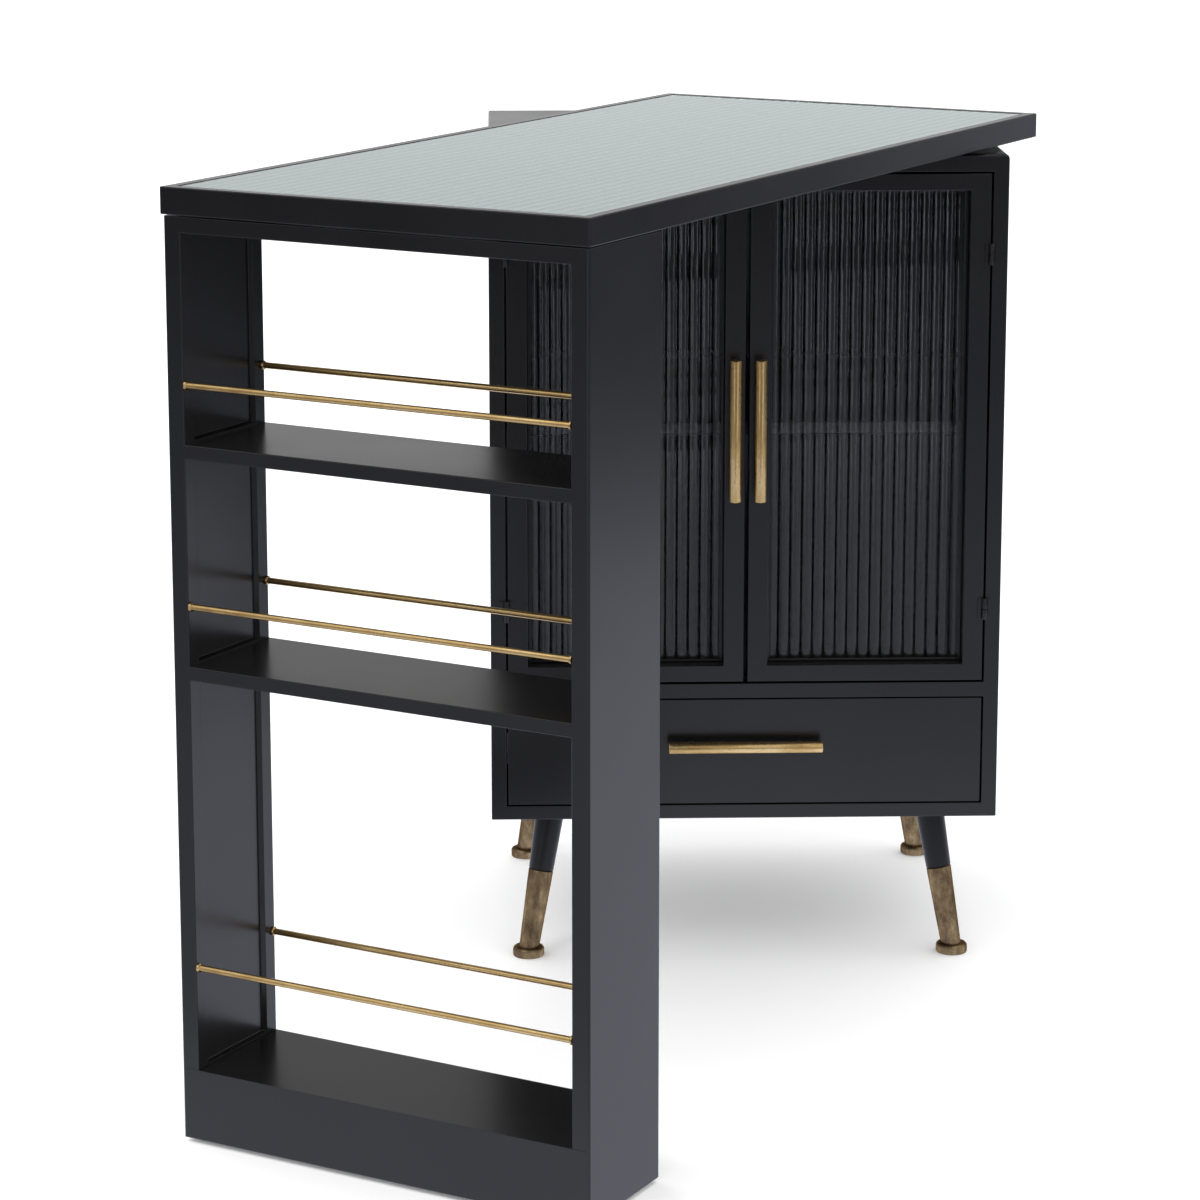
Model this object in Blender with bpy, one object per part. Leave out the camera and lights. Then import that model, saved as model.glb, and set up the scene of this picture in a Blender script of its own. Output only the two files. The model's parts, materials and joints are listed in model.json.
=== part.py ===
"""Swivel kitchen island: a glazed steel cabinet on splayed legs, and a glass table that turns on its top.

Metres, +Z up, floor at Z = 0. The cabinet faces -Y. The table turns about a vertical bolt near the
cabinet's right front corner, and its far end stands on an open rack with hidden casters. The origin is
the middle of the whole footprint, on the floor, with the table opened by TABLE_OPEN degrees.
"""

import math

import bmesh
import bpy
from mathutils import Matrix, Vector

GAP = 0.0003  # clearance between touching pieces
SHEET = 0.0015  # folded sheet steel
EDGE = 0.0008  # rounding of the welded bodies' edges
SHEET_EDGE = 0.0006  # rounding of the folded trays' edges
CUT_PAST = 0.020  # how far a cutter reaches past the wall it cuts

# Cabinet carcass. Its own frame: X across from its middle, Y back from its middle.
CABINET_WIDTH = 0.535
CABINET_DEPTH = 0.450
CABINET_BOTTOM = 0.165
CABINET_TOP = 0.870
CAP = 0.002  # sheet that closes the carcass above and below
STILE = 0.016  # width of the face frame's uprights, and thickness of the side panels
FRAME_DEPTH = 0.016
DRAWER_BAY = (0.180, 0.2963)
DOOR_BAY = (0.3121, 0.852)
DECK = 0.012
SHELF_TOP = 0.584
SHELF_THICK = 0.014
SHELF_SETBACK = 0.045
CATCH_HALF = 0.022
CATCH_DEPTH = 0.014
CATCH_DROP = 0.012  # how far the catch hangs below the doors' top edge
CATCH_CLEAR = 0.001

# Doors and drawer
DOOR_THICK = 0.025
DOOR_STILE = 0.021
DOOR_RAIL = 0.0175
DOOR_SPAN = (0.3141, 0.8501)
DOOR_SIDE_GAP = 0.002
DOOR_MIDDLE_GAP = 0.0042
GLASS_RECESS = 0.0205
GLASS_THICK = 0.004
DRAWER_SIDE_GAP = 0.0018
DRAWER_SPAN = (0.1815, 0.2950)
DRAWER_FRONT_THICK = 0.018
DRAWER_BOX_HALF = 0.2365
DRAWER_BOX_SPAN = (0.190, 0.275)
DRAWER_BOX_DEPTH = 0.390
RUNNER_MIDDLE = 0.235
RUNNER_HALF_HEIGHT = 0.017
RUNNER_LIP = 0.0016
RUNNER_LIP_INSET = 0.004  # from the drawer's side to the channel's lips
RUNNER_INSET = (0.012, 0.005)  # from the drawer box's front and back

# Handles: round bars on two thin posts
HANDLE_RADIUS = 0.0062
HANDLE_STANDOFF = 0.018
HANDLE_POST_RADIUS = 0.003
HANDLE_POST_INSET = 0.024
HANDLE_CHAMFER = 0.0006
DOOR_HANDLE_X = 0.013
DOOR_HANDLE_SPAN = (0.511, 0.660)
DRAWER_HANDLE_HALF = 0.081
DRAWER_HANDLE_Z = 0.2472

# Lift-off hinges on the front face
HINGE_HEIGHTS = {"lower": 0.392, "upper": 0.767}
HINGE_RADIUS = 0.003
HINGE_HALF_HEIGHT = 0.0112
HINGE_OFF_FACE = 0.0034  # from the cabinet's front face out to the hinge's axis
HINGE_LEAF_START = 0.0034  # from the axis to the leaf's near edge
HINGE_LEAF_WIDTH = 0.0036
HINGE_LEAF_THICK = 0.0012
HINGE_TAB = (0.0016, 0.0042)  # the tab's reach from the axis, into the knuckle and into the leaf
HINGE_CHAMFER = 0.0004
PIN_RADIUS = 0.0011
PIN_BORE = 0.0014
PIN_TOP = 0.0090  # above the hinge's middle

# Legs: two tapered tubes and a round foot
LEG_TOP_XY = (0.203, 0.154)
LEG_FOOT_XY = (0.2286, 0.1796)
LEG_TOP_RADIUS = 0.0157
LEG_FOOT_RADIUS = 0.0106
LEG_FOOT_Z = 0.006
LEG_JOINT_Z = 0.092
FOOT_RADIUS = 0.0168
FOOT_HEIGHT = 0.0105
FOOT_BOTTOM_CHAMFER = 0.0015
FOOT_TOP_ROUND = 0.003
LEG_OVERRUN = 0.012  # length of tube cut off flat under the cabinet
LEG_CUT_HALF = 0.050

# Swivel
PIVOT_INSET_SIDE = 0.0786
PIVOT_INSET_FRONT = 0.0947
BOLT_RADIUS = 0.006
BOLT_BORE = 0.0068
BOLT_HOLE = 0.0075
BOLT_HEAD_RADIUS = 0.012
BOLT_HEAD_HEIGHT = 0.010
BOLT_TOP_DROP = 0.002  # from the hub's top down to the bolt's end
SWIVEL_RADIUS = 0.055
SWIVEL_CHAMFER = 0.002
HUB_RADIUS = 0.045

# Table. Its own frame: origin on the bolt, +X along it away from the rack, closed at 0 degrees.
TABLE_LENGTH = 0.960
TABLE_WIDTH = 0.440
TABLE_TOP = 0.900
TABLE_UNDERSIDE = 0.875
TABLE_RIM = 0.012
TABLE_GLASS_DROP = 0.0005  # the rim stands this much over the glass
TABLE_GLASS_THICK = 0.0052
TABLE_EDGE = 0.0010
TABLE_OPEN = 59.2  # degrees out of the closed place, over the cabinet

# Rack under the table's far end
RACK_INSET = 0.002
RACK_DEPTH = 0.129
RACK_TOP = 0.874
RACK_CLEARANCE = 0.0045
RACK_STILE = 0.018
RACK_POST = 0.016
RACK_RECESS = 0.003
RACK_SKIN = 0.003
RACK_HEAD = 0.015
RACK_NOTCH_DEPTH = 0.020
RACK_BASE_TOP = 0.073
RACK_SHELVES = {"upper": (0.6537, 0.667), "lower": (0.4478, 0.461)}
RAIL_RADIUS = 0.0033
RAIL_HEIGHTS = {"upper": 0.7212, "middle": 0.5166, "lower": 0.1728}

# Casters in the rack's base
WHEEL_RADIUS = 0.025
WHEEL_WIDTH = 0.018
WHEEL_BORE = 0.0042
AXLE_RADIUS = 0.0035
CASTER_INSET = 0.060
CASTER_CHEEK = 0.003
CASTER_CLEAR = 0.0012
CASTER_CROWN = 0.008  # the fork over the wheel, and below its axle
CASTER_REACH = 0.016
WHEEL_CHAMFER = 0.002
AXLE_END = 0.001

# Worked out from the above
HALF_WIDTH = CABINET_WIDTH / 2
FRONT = -CABINET_DEPTH / 2
BACK = CABINET_DEPTH / 2
BODY_LOW = CABINET_BOTTOM + CAP + GAP
BODY_HIGH = CABINET_TOP - CAP - GAP
INNER_HALF = HALF_WIDTH - STILE
PIVOT = Vector((HALF_WIDTH - PIVOT_INSET_SIDE, FRONT + PIVOT_INSET_FRONT, 0))
TABLE_X = (PIVOT_INSET_SIDE - TABLE_LENGTH, PIVOT_INSET_SIDE)
TABLE_Y = (-PIVOT_INSET_FRONT, TABLE_WIDTH - PIVOT_INSET_FRONT)
RACK_X = (TABLE_X[0] + RACK_INSET, TABLE_X[0] + RACK_INSET + RACK_DEPTH)
RACK_Y = (TABLE_Y[0] + RACK_INSET, TABLE_Y[1] - RACK_INSET)

# Finishes: colour, roughness, metallic, alpha
FINISHES = {
    "powder_black": ((0.013, 0.013, 0.016), 0.38, 0.0, 1.0),
    "aged_brass": ((0.36, 0.24, 0.10), 0.36, 1.0, 1.0),
    "antique_brass": ((0.20, 0.14, 0.075), 0.48, 1.0, 1.0),
    "glass": ((0.62, 0.68, 0.67), 0.05, 0.0, 0.35),
    "zinc_steel": ((0.42, 0.42, 0.43), 0.35, 1.0, 1.0),
    "black_rubber": ((0.02, 0.02, 0.02), 0.75, 0.0, 1.0),
}


# ---- Helpers ----------------------------------------------------------------------------------


def clear_scene():
    for obj in list(bpy.data.objects):
        bpy.data.objects.remove(obj, do_unlink=True)


def finish_of(name, finish):
    """A Principled material of the object's own."""
    colour, roughness, metallic, alpha = FINISHES[finish]
    material = bpy.data.materials.new(name)
    material.use_nodes = True
    shader = material.node_tree.nodes["Principled BSDF"]
    shader.inputs["Base Color"].default_value = (*colour, 1.0)
    shader.inputs["Roughness"].default_value = roughness
    shader.inputs["Metallic"].default_value = metallic
    shader.inputs["Alpha"].default_value = alpha
    return material


def frame_empty(name, location, turn=0.0, parent=None):
    """An empty that holds pieces placed in its own frame, turned about Z by degrees."""
    empty = bpy.data.objects.new(name, None)
    empty.location = location
    empty.rotation_euler = (0, 0, math.radians(turn))
    empty.parent = parent
    bpy.context.collection.objects.link(empty)
    return empty


def add_object(name, bm, finish, parent):
    bmesh.ops.remove_doubles(bm, verts=bm.verts, dist=1e-6)
    bmesh.ops.recalc_face_normals(bm, faces=bm.faces)
    mesh = bpy.data.meshes.new(name)
    bm.to_mesh(mesh)
    bm.free()
    obj = bpy.data.objects.new(name, mesh)
    mesh.materials.append(finish_of(name, finish))
    bpy.context.collection.objects.link(obj)
    obj.parent = parent
    return obj


def smooth(obj):
    obj.data.shade_smooth()
    obj.data.set_sharp_from_angle(angle=math.radians(35))
    return obj


def bevel(obj, width, segments=2):
    modifier = obj.modifiers.new("edges", "BEVEL")
    modifier.width = width
    modifier.segments = segments
    modifier.limit_method = "ANGLE"
    modifier.angle_limit = math.radians(40)
    return obj


def boolean(obj, other, operation):
    """Cuts or joins with a hidden helper object."""
    other.hide_render = True
    other.display_type = "WIRE"
    modifier = obj.modifiers.new(other.name, "BOOLEAN")
    modifier.operation = operation
    modifier.object = other
    return obj


def add_box(bm, low, high):
    low, high = Vector(low), Vector(high)
    placed = Matrix.Translation((low + high) / 2) @ Matrix.Diagonal((*(high - low), 1.0))
    bmesh.ops.create_cube(bm, size=1.0, matrix=placed)


def block(name, low, high, finish, parent, edge=0.0):
    bm = bmesh.new()
    add_box(bm, low, high)
    obj = add_object(name, bm, finish, parent)
    return bevel(obj, edge) if edge else obj


def pan(name, low, high, open_side, finish, parent, wall=SHEET):
    """A folded sheet tray: a box with one side left out, its sheet growing inwards."""
    bm = bmesh.new()
    add_box(bm, low, high)
    outward = Vector(open_side)
    bm.normal_update()
    lid = [face for face in bm.faces if face.normal.dot(outward) > 0.9]
    bmesh.ops.delete(bm, geom=lid, context="FACES_ONLY")
    obj = add_object(name, bm, finish, parent)
    modifier = obj.modifiers.new("sheet", "SOLIDIFY")
    modifier.thickness = wall
    modifier.offset = -1.0
    modifier.use_even_offset = True
    return obj


def opened_plate(name, us, vs, openings, span, flat, finish, parent):
    """A plate on a grid of lines, with some cells left open.

    us and vs are the grid's lines, openings the (u, v) cells left out, span the plate's two faces.
    flat is "XZ" for a plate whose thickness is along Y, or "XY" for one whose thickness is along Z.
    """
    bm = bmesh.new()

    def corner(i, j, side):
        if flat == "XZ":
            return Vector((us[i], span[side], vs[j]))
        return Vector((us[i], vs[j], span[side]))

    def face(*points):
        bm.faces.new([bm.verts.new(p) for p in points])

    def filled(i, j):
        inside = 0 <= i < len(us) - 1 and 0 <= j < len(vs) - 1
        return inside and (i, j) not in openings

    for i in range(len(us) - 1):
        for j in range(len(vs) - 1):
            if not filled(i, j):
                continue
            ring = [(i, j), (i + 1, j), (i + 1, j + 1), (i, j + 1)]
            for side in (0, 1):
                face(*[corner(a, b, side) for a, b in ring])
            beside = [(i, j - 1), (i + 1, j), (i, j + 1), (i - 1, j)]
            for (a, b), (c, d), near in zip(ring, ring[1:] + ring[:1], beside):
                if not filled(*near):
                    face(corner(a, b, 0), corner(c, d, 0), corner(c, d, 1), corner(a, b, 1))
    return add_object(name, bm, finish, parent)


def prism(name, outline, span, along, finish, parent):
    """A flat outline extruded along Y (outline in X, Z) or along Z (outline in X, Y)."""
    bm = bmesh.new()

    def at(point, depth):
        u, v = point
        return Vector((u, depth, v)) if along == "Y" else Vector((u, v, depth))

    base = bm.faces.new([bm.verts.new(at(p, span[0])) for p in outline])
    swept = bmesh.ops.extrude_face_region(bm, geom=[base])["geom"]
    moved = [part for part in swept if isinstance(part, bmesh.types.BMVert)]
    step = at((0, 0), span[1]) - at((0, 0), span[0])
    bmesh.ops.translate(bm, verts=moved, vec=step)
    return add_object(name, bm, finish, parent)


def add_turned(bm, profile, segments, hollow=False, placed=Matrix.Identity(4)):
    """A profile of (radius, height) points turned about Z. hollow joins its last point to its first."""
    rings = []
    for radius, height in profile:
        steps = [2 * math.pi * k / segments for k in range(segments)]
        points = [Vector((radius * math.cos(t), radius * math.sin(t), height)) for t in steps]
        rings.append([bm.verts.new(placed @ p) for p in points])
    pairs = list(zip(rings, rings[1:]))
    if hollow:
        pairs.append((rings[-1], rings[0]))
    else:
        bm.faces.new(rings[0])
        bm.faces.new(rings[-1])
    for lower, upper in pairs:
        for k in range(segments):
            n = (k + 1) % segments
            bm.faces.new([lower[k], lower[n], upper[n], upper[k]])


def turned(name, profile, finish, parent, segments=24, hollow=False, placed=Matrix.Identity(4)):
    bm = bmesh.new()
    add_turned(bm, profile, segments, hollow, placed)
    return smooth(add_object(name, bm, finish, parent))


def rod_profile(radius, low, high, edge):
    """A round bar's outline with its two ends broken by a small chamfer."""
    return [(radius - edge, low), (radius, low + edge), (radius, high - edge), (radius - edge, high)]


def aimed(start, end):
    """Puts a piece made along +Z from its origin so that it runs from start towards end."""
    start, end = Vector(start), Vector(end)
    return Matrix.Translation(start) @ (end - start).to_track_quat("Z", "Y").to_matrix().to_4x4()


# ---- Where the cabinet stands -----------------------------------------------------------------


def footprint_middle():
    """The middle, in the cabinet's frame, of the box round the cabinet and the opened table."""
    turn = Matrix.Rotation(math.radians(TABLE_OPEN), 4, "Z")
    corners = [PIVOT + turn @ Vector((x, y, 0)) for x in TABLE_X for y in TABLE_Y]
    corners += [Vector((x, y, 0)) for x in (-HALF_WIDTH, HALF_WIDTH) for y in (FRONT, BACK)]
    xs = [c.x for c in corners]
    ys = [c.y for c in corners]
    return Vector(((min(xs) + max(xs)) / 2, (min(ys) + max(ys)) / 2, 0))


# ---- Cabinet ----------------------------------------------------------------------------------


def build_carcass(cabinet):
    plan = ((-HALF_WIDTH, FRONT), (HALF_WIDTH, BACK))
    top = block(
        "cabinet_top",
        (*plan[0], CABINET_TOP - CAP),
        (*plan[1], CABINET_TOP),
        "powder_black",
        cabinet,
    )
    hole = turned(
        "cut_bolt_hole",
        [(BOLT_HOLE, CABINET_TOP - CUT_PAST), (BOLT_HOLE, CABINET_TOP + CUT_PAST)],
        "powder_black",
        cabinet,
        placed=Matrix.Translation(PIVOT),
    )
    boolean(top, hole, "DIFFERENCE")
    bevel(top, EDGE)
    block(
        "cabinet_bottom",
        (*plan[0], CABINET_BOTTOM),
        (*plan[1], CABINET_BOTTOM + CAP),
        "powder_black",
        cabinet,
        edge=EDGE,
    )
    frame = opened_plate(
        "face_frame",
        [-HALF_WIDTH, -INNER_HALF, INNER_HALF, HALF_WIDTH],
        [BODY_LOW, *DRAWER_BAY, *DOOR_BAY, BODY_HIGH],
        {(1, 1), (1, 3)},
        (FRONT, FRONT + FRAME_DEPTH),
        "XZ",
        "powder_black",
        cabinet,
    )
    bevel(frame, EDGE)

    inside_front = FRONT + FRAME_DEPTH + GAP
    inside_back = BACK - SHEET - GAP
    for side, sign in (("left", -1), ("right", 1)):
        xs = sorted((sign * INNER_HALF, sign * HALF_WIDTH))
        block(
            f"cabinet_side_{side}",
            (xs[0], inside_front, BODY_LOW),
            (xs[1], inside_back, BODY_HIGH),
            "powder_black",
            cabinet,
            edge=EDGE,
        )
    block(
        "cabinet_back",
        (-HALF_WIDTH, BACK - SHEET, BODY_LOW),
        (HALF_WIDTH, BACK, BODY_HIGH),
        "powder_black",
        cabinet,
    )
    fit = INNER_HALF - GAP
    block(
        "drawer_deck",
        (-fit, inside_front, DOOR_BAY[0] - GAP - DECK),
        (fit, inside_back - GAP, DOOR_BAY[0] - GAP),
        "powder_black",
        cabinet,
    )
    block(
        "cabinet_shelf",
        (-fit, FRONT + SHELF_SETBACK, SHELF_TOP - SHELF_THICK),
        (fit, inside_back - GAP, SHELF_TOP),
        "powder_black",
        cabinet,
        edge=EDGE,
    )
    catch_front = FRONT + DOOR_THICK + CATCH_CLEAR
    block(
        "door_catch",
        (-CATCH_HALF, catch_front, DOOR_SPAN[1] - CATCH_DROP),
        (CATCH_HALF, catch_front + CATCH_DEPTH, BODY_HIGH),
        "powder_black",
        cabinet,
        edge=EDGE,
    )


def build_legs(cabinet):
    for depth, sign_y in (("front", -1), ("back", 1)):
        for side, sign_x in (("left", -1), ("right", 1)):
            build_leg(f"{depth}_{side}", sign_x, sign_y, cabinet)


def build_leg(place, sign_x, sign_y, cabinet):
    """A leg leans out to its corner. Its two tubes meet square to its axis, and its foot lies flat."""
    top = Vector((sign_x * LEG_TOP_XY[0], sign_y * LEG_TOP_XY[1], CABINET_BOTTOM))
    foot = Vector((sign_x * LEG_FOOT_XY[0], sign_y * LEG_FOOT_XY[1], LEG_FOOT_Z))
    length = (top - foot).length
    past_top = length + LEG_OVERRUN
    joint = length * (LEG_JOINT_Z - LEG_FOOT_Z) / (CABINET_BOTTOM - LEG_FOOT_Z)
    placed = aimed(foot, top)

    def radius(along):
        return LEG_FOOT_RADIUS + (LEG_TOP_RADIUS - LEG_FOOT_RADIUS) * along / length

    upper = turned(
        f"leg_upper_{place}",
        [(radius(joint), joint + GAP), (radius(past_top), past_top)],
        "powder_black",
        cabinet,
        placed=placed,
    )
    above = block(
        f"cut_leg_{place}",
        (top.x - LEG_CUT_HALF, top.y - LEG_CUT_HALF, CABINET_BOTTOM - GAP),
        (top.x + LEG_CUT_HALF, top.y + LEG_CUT_HALF, CABINET_BOTTOM + LEG_CUT_HALF),
        "powder_black",
        cabinet,
    )
    boolean(upper, above, "DIFFERENCE")
    lower = turned(
        f"leg_lower_{place}",
        [(radius(0), 0), (radius(joint), joint)],
        "antique_brass",
        cabinet,
        placed=placed,
    )
    pad = turned(
        f"join_foot_{place}",
        [
            (FOOT_RADIUS - FOOT_BOTTOM_CHAMFER, 0),
            (FOOT_RADIUS, FOOT_BOTTOM_CHAMFER),
            (FOOT_RADIUS, FOOT_HEIGHT - FOOT_TOP_ROUND),
            (FOOT_RADIUS - FOOT_TOP_ROUND / 3, FOOT_HEIGHT - FOOT_TOP_ROUND / 3),
            (FOOT_RADIUS - FOOT_TOP_ROUND, FOOT_HEIGHT),
        ],
        "antique_brass",
        cabinet,
        placed=Matrix.Translation((foot.x, foot.y, 0)),
    )
    boolean(lower, pad, "UNION")


# ---- Doors and drawer -------------------------------------------------------------------------


def build_handle(name, start, end, out, parent):
    """A round bar from start to end, held off the face behind it by two posts. out points off the face."""
    start, end, out = Vector(start), Vector(end), Vector(out)
    length = (end - start).length
    bar = turned(
        name,
        rod_profile(HANDLE_RADIUS, 0, length, HANDLE_CHAMFER),
        "aged_brass",
        parent,
        segments=18,
        placed=aimed(start, end),
    )
    along = (end - start) / length
    for label, inset in (("a", HANDLE_POST_INSET), ("b", length - HANDLE_POST_INSET)):
        centre = start + along * inset
        post = turned(
            f"join_{name}_{label}",
            [(HANDLE_POST_RADIUS, 0), (HANDLE_POST_RADIUS, HANDLE_STANDOFF - GAP)],
            "aged_brass",
            parent,
            segments=10,
            placed=aimed(centre, centre - out),
        )
        boolean(bar, post, "UNION")
    return bar


def build_hinge(name, sign, height, cabinet, door):
    """A lift-off hinge on the axis of the door's empty: a lower knuckle with the pin, an upper with the bore.

    sign is +1 where the cabinet's leaf points to +X. Leaves lie on the front faces, behind the axis.
    """
    leaf_back = HINGE_OFF_FACE - GAP
    leaf_front = leaf_back - HINGE_LEAF_THICK
    leaf_reach = (HINGE_LEAF_START, HINGE_LEAF_START + HINGE_LEAF_WIDTH)
    half = HINGE_HALF_HEIGHT

    def leaf(bm, turn, low, high):
        """The leaf beside the barrel, and the tab that joins it to its knuckle between low and high."""
        for reach, bottom, top in ((leaf_reach, -half, half), (HINGE_TAB, low, high)):
            xs = sorted(turn * r for r in reach)
            add_box(bm, (xs[0], leaf_front, height + bottom), (xs[1], leaf_back, height + top))

    pieces = (
        (f"{name}_frame_leaf", cabinet, sign, -half, -GAP / 2),
        (f"{name}_door_leaf", door, -sign, GAP / 2, half),
    )
    for label, parent, turn, low, high in pieces:
        bottom, top = height + low, height + high
        if parent is cabinet:
            profile = rod_profile(HINGE_RADIUS, bottom, top, HINGE_CHAMFER)
            profile += [(PIN_RADIUS, top), (PIN_RADIUS, height + PIN_TOP)]
            hollow = False
        else:
            profile = [(PIN_BORE, bottom), (HINGE_RADIUS, bottom)]
            profile += [(HINGE_RADIUS, top - HINGE_CHAMFER), (HINGE_RADIUS - HINGE_CHAMFER, top)]
            profile += [(PIN_BORE, top)]
            hollow = True
        knuckle = turned(label, profile, "powder_black", parent, segments=16, hollow=hollow)
        bm = bmesh.new()
        leaf(bm, turn, low, high)
        plates = add_object(f"join_{label}", bm, "powder_black", parent)
        boolean(knuckle, plates, "UNION")
        knuckle.modifiers[-1].use_self = True
        if parent is cabinet:
            for piece in (knuckle, plates):
                piece.location = door.location


def build_doors(cabinet):
    free_edge = DOOR_MIDDLE_GAP / 2
    outer_edge = INNER_HALF - DOOR_SIDE_GAP
    hinge_x = INNER_HALF - DOOR_SIDE_GAP / 2
    hinge_y = FRONT - HINGE_OFF_FACE
    low, high = DOOR_SPAN
    for side, sign in (("left", -1), ("right", 1)):
        door = frame_empty(f"door_{side}_axis", (sign * hinge_x, hinge_y, 0), parent=cabinet)
        shift = Vector((sign * hinge_x, hinge_y, 0))
        xs = sorted((sign * free_edge - shift.x, sign * outer_edge - shift.x))
        y0 = FRONT - shift.y
        frame = opened_plate(
            f"door_{side}_frame",
            [xs[0], xs[0] + DOOR_STILE, xs[1] - DOOR_STILE, xs[1]],
            [low, low + DOOR_RAIL, high - DOOR_RAIL, high],
            {(1, 1)},
            (y0, y0 + DOOR_THICK),
            "XZ",
            "powder_black",
            door,
        )
        bevel(frame, EDGE)
        block(
            f"door_{side}_glass",
            (xs[0] + DOOR_STILE + GAP, y0 + GLASS_RECESS, low + DOOR_RAIL + GAP),
            (xs[1] - DOOR_STILE - GAP, y0 + GLASS_RECESS + GLASS_THICK, high - DOOR_RAIL - GAP),
            "glass",
            door,
        )
        x = sign * DOOR_HANDLE_X - shift.x
        y = y0 - HANDLE_STANDOFF
        build_handle(
            f"door_{side}_handle",
            (x, y, DOOR_HANDLE_SPAN[0]),
            (x, y, DOOR_HANDLE_SPAN[1]),
            (0, -1, 0),
            door,
        )
        for place, height in HINGE_HEIGHTS.items():
            build_hinge(f"hinge_{side}_{place}", sign, height, cabinet, door)


def build_drawer(cabinet):
    drawer = frame_empty("drawer_axis", (0, FRONT, 0), parent=cabinet)
    half = INNER_HALF - DRAWER_SIDE_GAP
    low, high = DRAWER_SPAN
    front = pan(
        "drawer_front",
        (-half, 0, low),
        (half, DRAWER_FRONT_THICK, high),
        (0, 1, 0),
        "powder_black",
        drawer,
    )
    bevel(front, SHEET_EDGE)
    box_front = DRAWER_FRONT_THICK + GAP
    pan(
        "drawer_box",
        (-DRAWER_BOX_HALF, box_front, DRAWER_BOX_SPAN[0]),
        (DRAWER_BOX_HALF, box_front + DRAWER_BOX_DEPTH, DRAWER_BOX_SPAN[1]),
        (0, 0, 1),
        "powder_black",
        drawer,
    )
    y = -HANDLE_STANDOFF
    build_handle(
        "drawer_handle",
        (-DRAWER_HANDLE_HALF, y, DRAWER_HANDLE_Z),
        (DRAWER_HANDLE_HALF, y, DRAWER_HANDLE_Z),
        (0, -1, 0),
        drawer,
    )
    run = (box_front + RUNNER_INSET[0], box_front + DRAWER_BOX_DEPTH - RUNNER_INSET[1])
    inner = DRAWER_BOX_HALF + GAP
    lips = inner + RUNNER_LIP_INSET
    outer = INNER_HALF - GAP
    web = outer - RUNNER_LIP
    tall = RUNNER_HALF_HEIGHT
    flange = RUNNER_HALF_HEIGHT - RUNNER_LIP
    for side, sign in (("left", -1), ("right", 1)):
        xs = sorted((sign * inner, sign * (web - GAP)))
        block(
            f"drawer_runner_{side}_slide",
            (xs[0], run[0], RUNNER_MIDDLE - flange + GAP),
            (xs[1], run[1], RUNNER_MIDDLE + flange - GAP),
            "zinc_steel",
            drawer,
        )
        channel = [
            (outer, -tall),
            (outer, tall),
            (lips, tall),
            (lips, flange),
            (web, flange),
            (web, -flange),
            (lips, -flange),
            (lips, -tall),
        ]
        prism(
            f"drawer_runner_{side}_rail",
            [(sign * x, RUNNER_MIDDLE + z) for x, z in channel],
            (FRONT + run[0], FRONT + run[1]),
            "Y",
            "zinc_steel",
            cabinet,
        )


# ---- Swivel and table -------------------------------------------------------------------------


def build_swivel(cabinet, table):
    """A thin bearing in two halves, one on the cabinet and one on the table, round a bolt.

    Returns the height of the top of the sheet under the table's glass, which lies on the hub.
    """
    middle = (CABINET_TOP + TABLE_UNDERSIDE) / 2
    turned(
        "swivel_base_ring",
        [
            (BOLT_BORE, CABINET_TOP + GAP),
            (SWIVEL_RADIUS, CABINET_TOP + GAP),
            (SWIVEL_RADIUS, middle - GAP / 2),
            (BOLT_BORE, middle - GAP / 2),
        ],
        "zinc_steel",
        cabinet,
        segments=32,
        hollow=True,
        placed=Matrix.Translation(PIVOT),
    )
    pan_top = TABLE_TOP - TABLE_GLASS_DROP - TABLE_GLASS_THICK - GAP
    pan_low = pan_top - SHEET - GAP
    turned(
        "swivel_hub",
        [
            (BOLT_BORE, middle + GAP / 2),
            (SWIVEL_RADIUS, middle + GAP / 2),
            (SWIVEL_RADIUS, TABLE_UNDERSIDE),
            (HUB_RADIUS, TABLE_UNDERSIDE + SWIVEL_CHAMFER),
            (HUB_RADIUS, pan_low),
            (BOLT_BORE, pan_low),
        ],
        "zinc_steel",
        table,
        segments=32,
        hollow=True,
    )
    turned(
        "pivot_bolt",
        [
            (BOLT_HEAD_RADIUS, BODY_HIGH - BOLT_HEAD_HEIGHT),
            (BOLT_HEAD_RADIUS, BODY_HIGH),
            (BOLT_RADIUS, BODY_HIGH),
            (BOLT_RADIUS, pan_low - BOLT_TOP_DROP),
        ],
        "zinc_steel",
        cabinet,
        segments=18,
        placed=Matrix.Translation(PIVOT),
    )
    return pan_top


def build_table(table, pan_top):
    xs = [TABLE_X[0], TABLE_X[0] + TABLE_RIM, TABLE_X[1] - TABLE_RIM, TABLE_X[1]]
    ys = [TABLE_Y[0], TABLE_Y[0] + TABLE_RIM, TABLE_Y[1] - TABLE_RIM, TABLE_Y[1]]
    frame = opened_plate(
        "table_frame",
        xs,
        ys,
        {(1, 1)},
        (TABLE_UNDERSIDE, TABLE_TOP),
        "XY",
        "powder_black",
        table,
    )
    bevel(frame, TABLE_EDGE)
    low = (xs[1] + GAP, ys[1] + GAP)
    high = (xs[2] - GAP, ys[2] - GAP)
    block(
        "table_glass",
        (*low, pan_top + GAP),
        (*high, TABLE_TOP - TABLE_GLASS_DROP),
        "glass",
        table,
    )
    block(
        "table_pan",
        (*low, pan_top - SHEET),
        (*high, pan_top),
        "powder_black",
        table,
    )


# ---- Rack -------------------------------------------------------------------------------------


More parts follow.
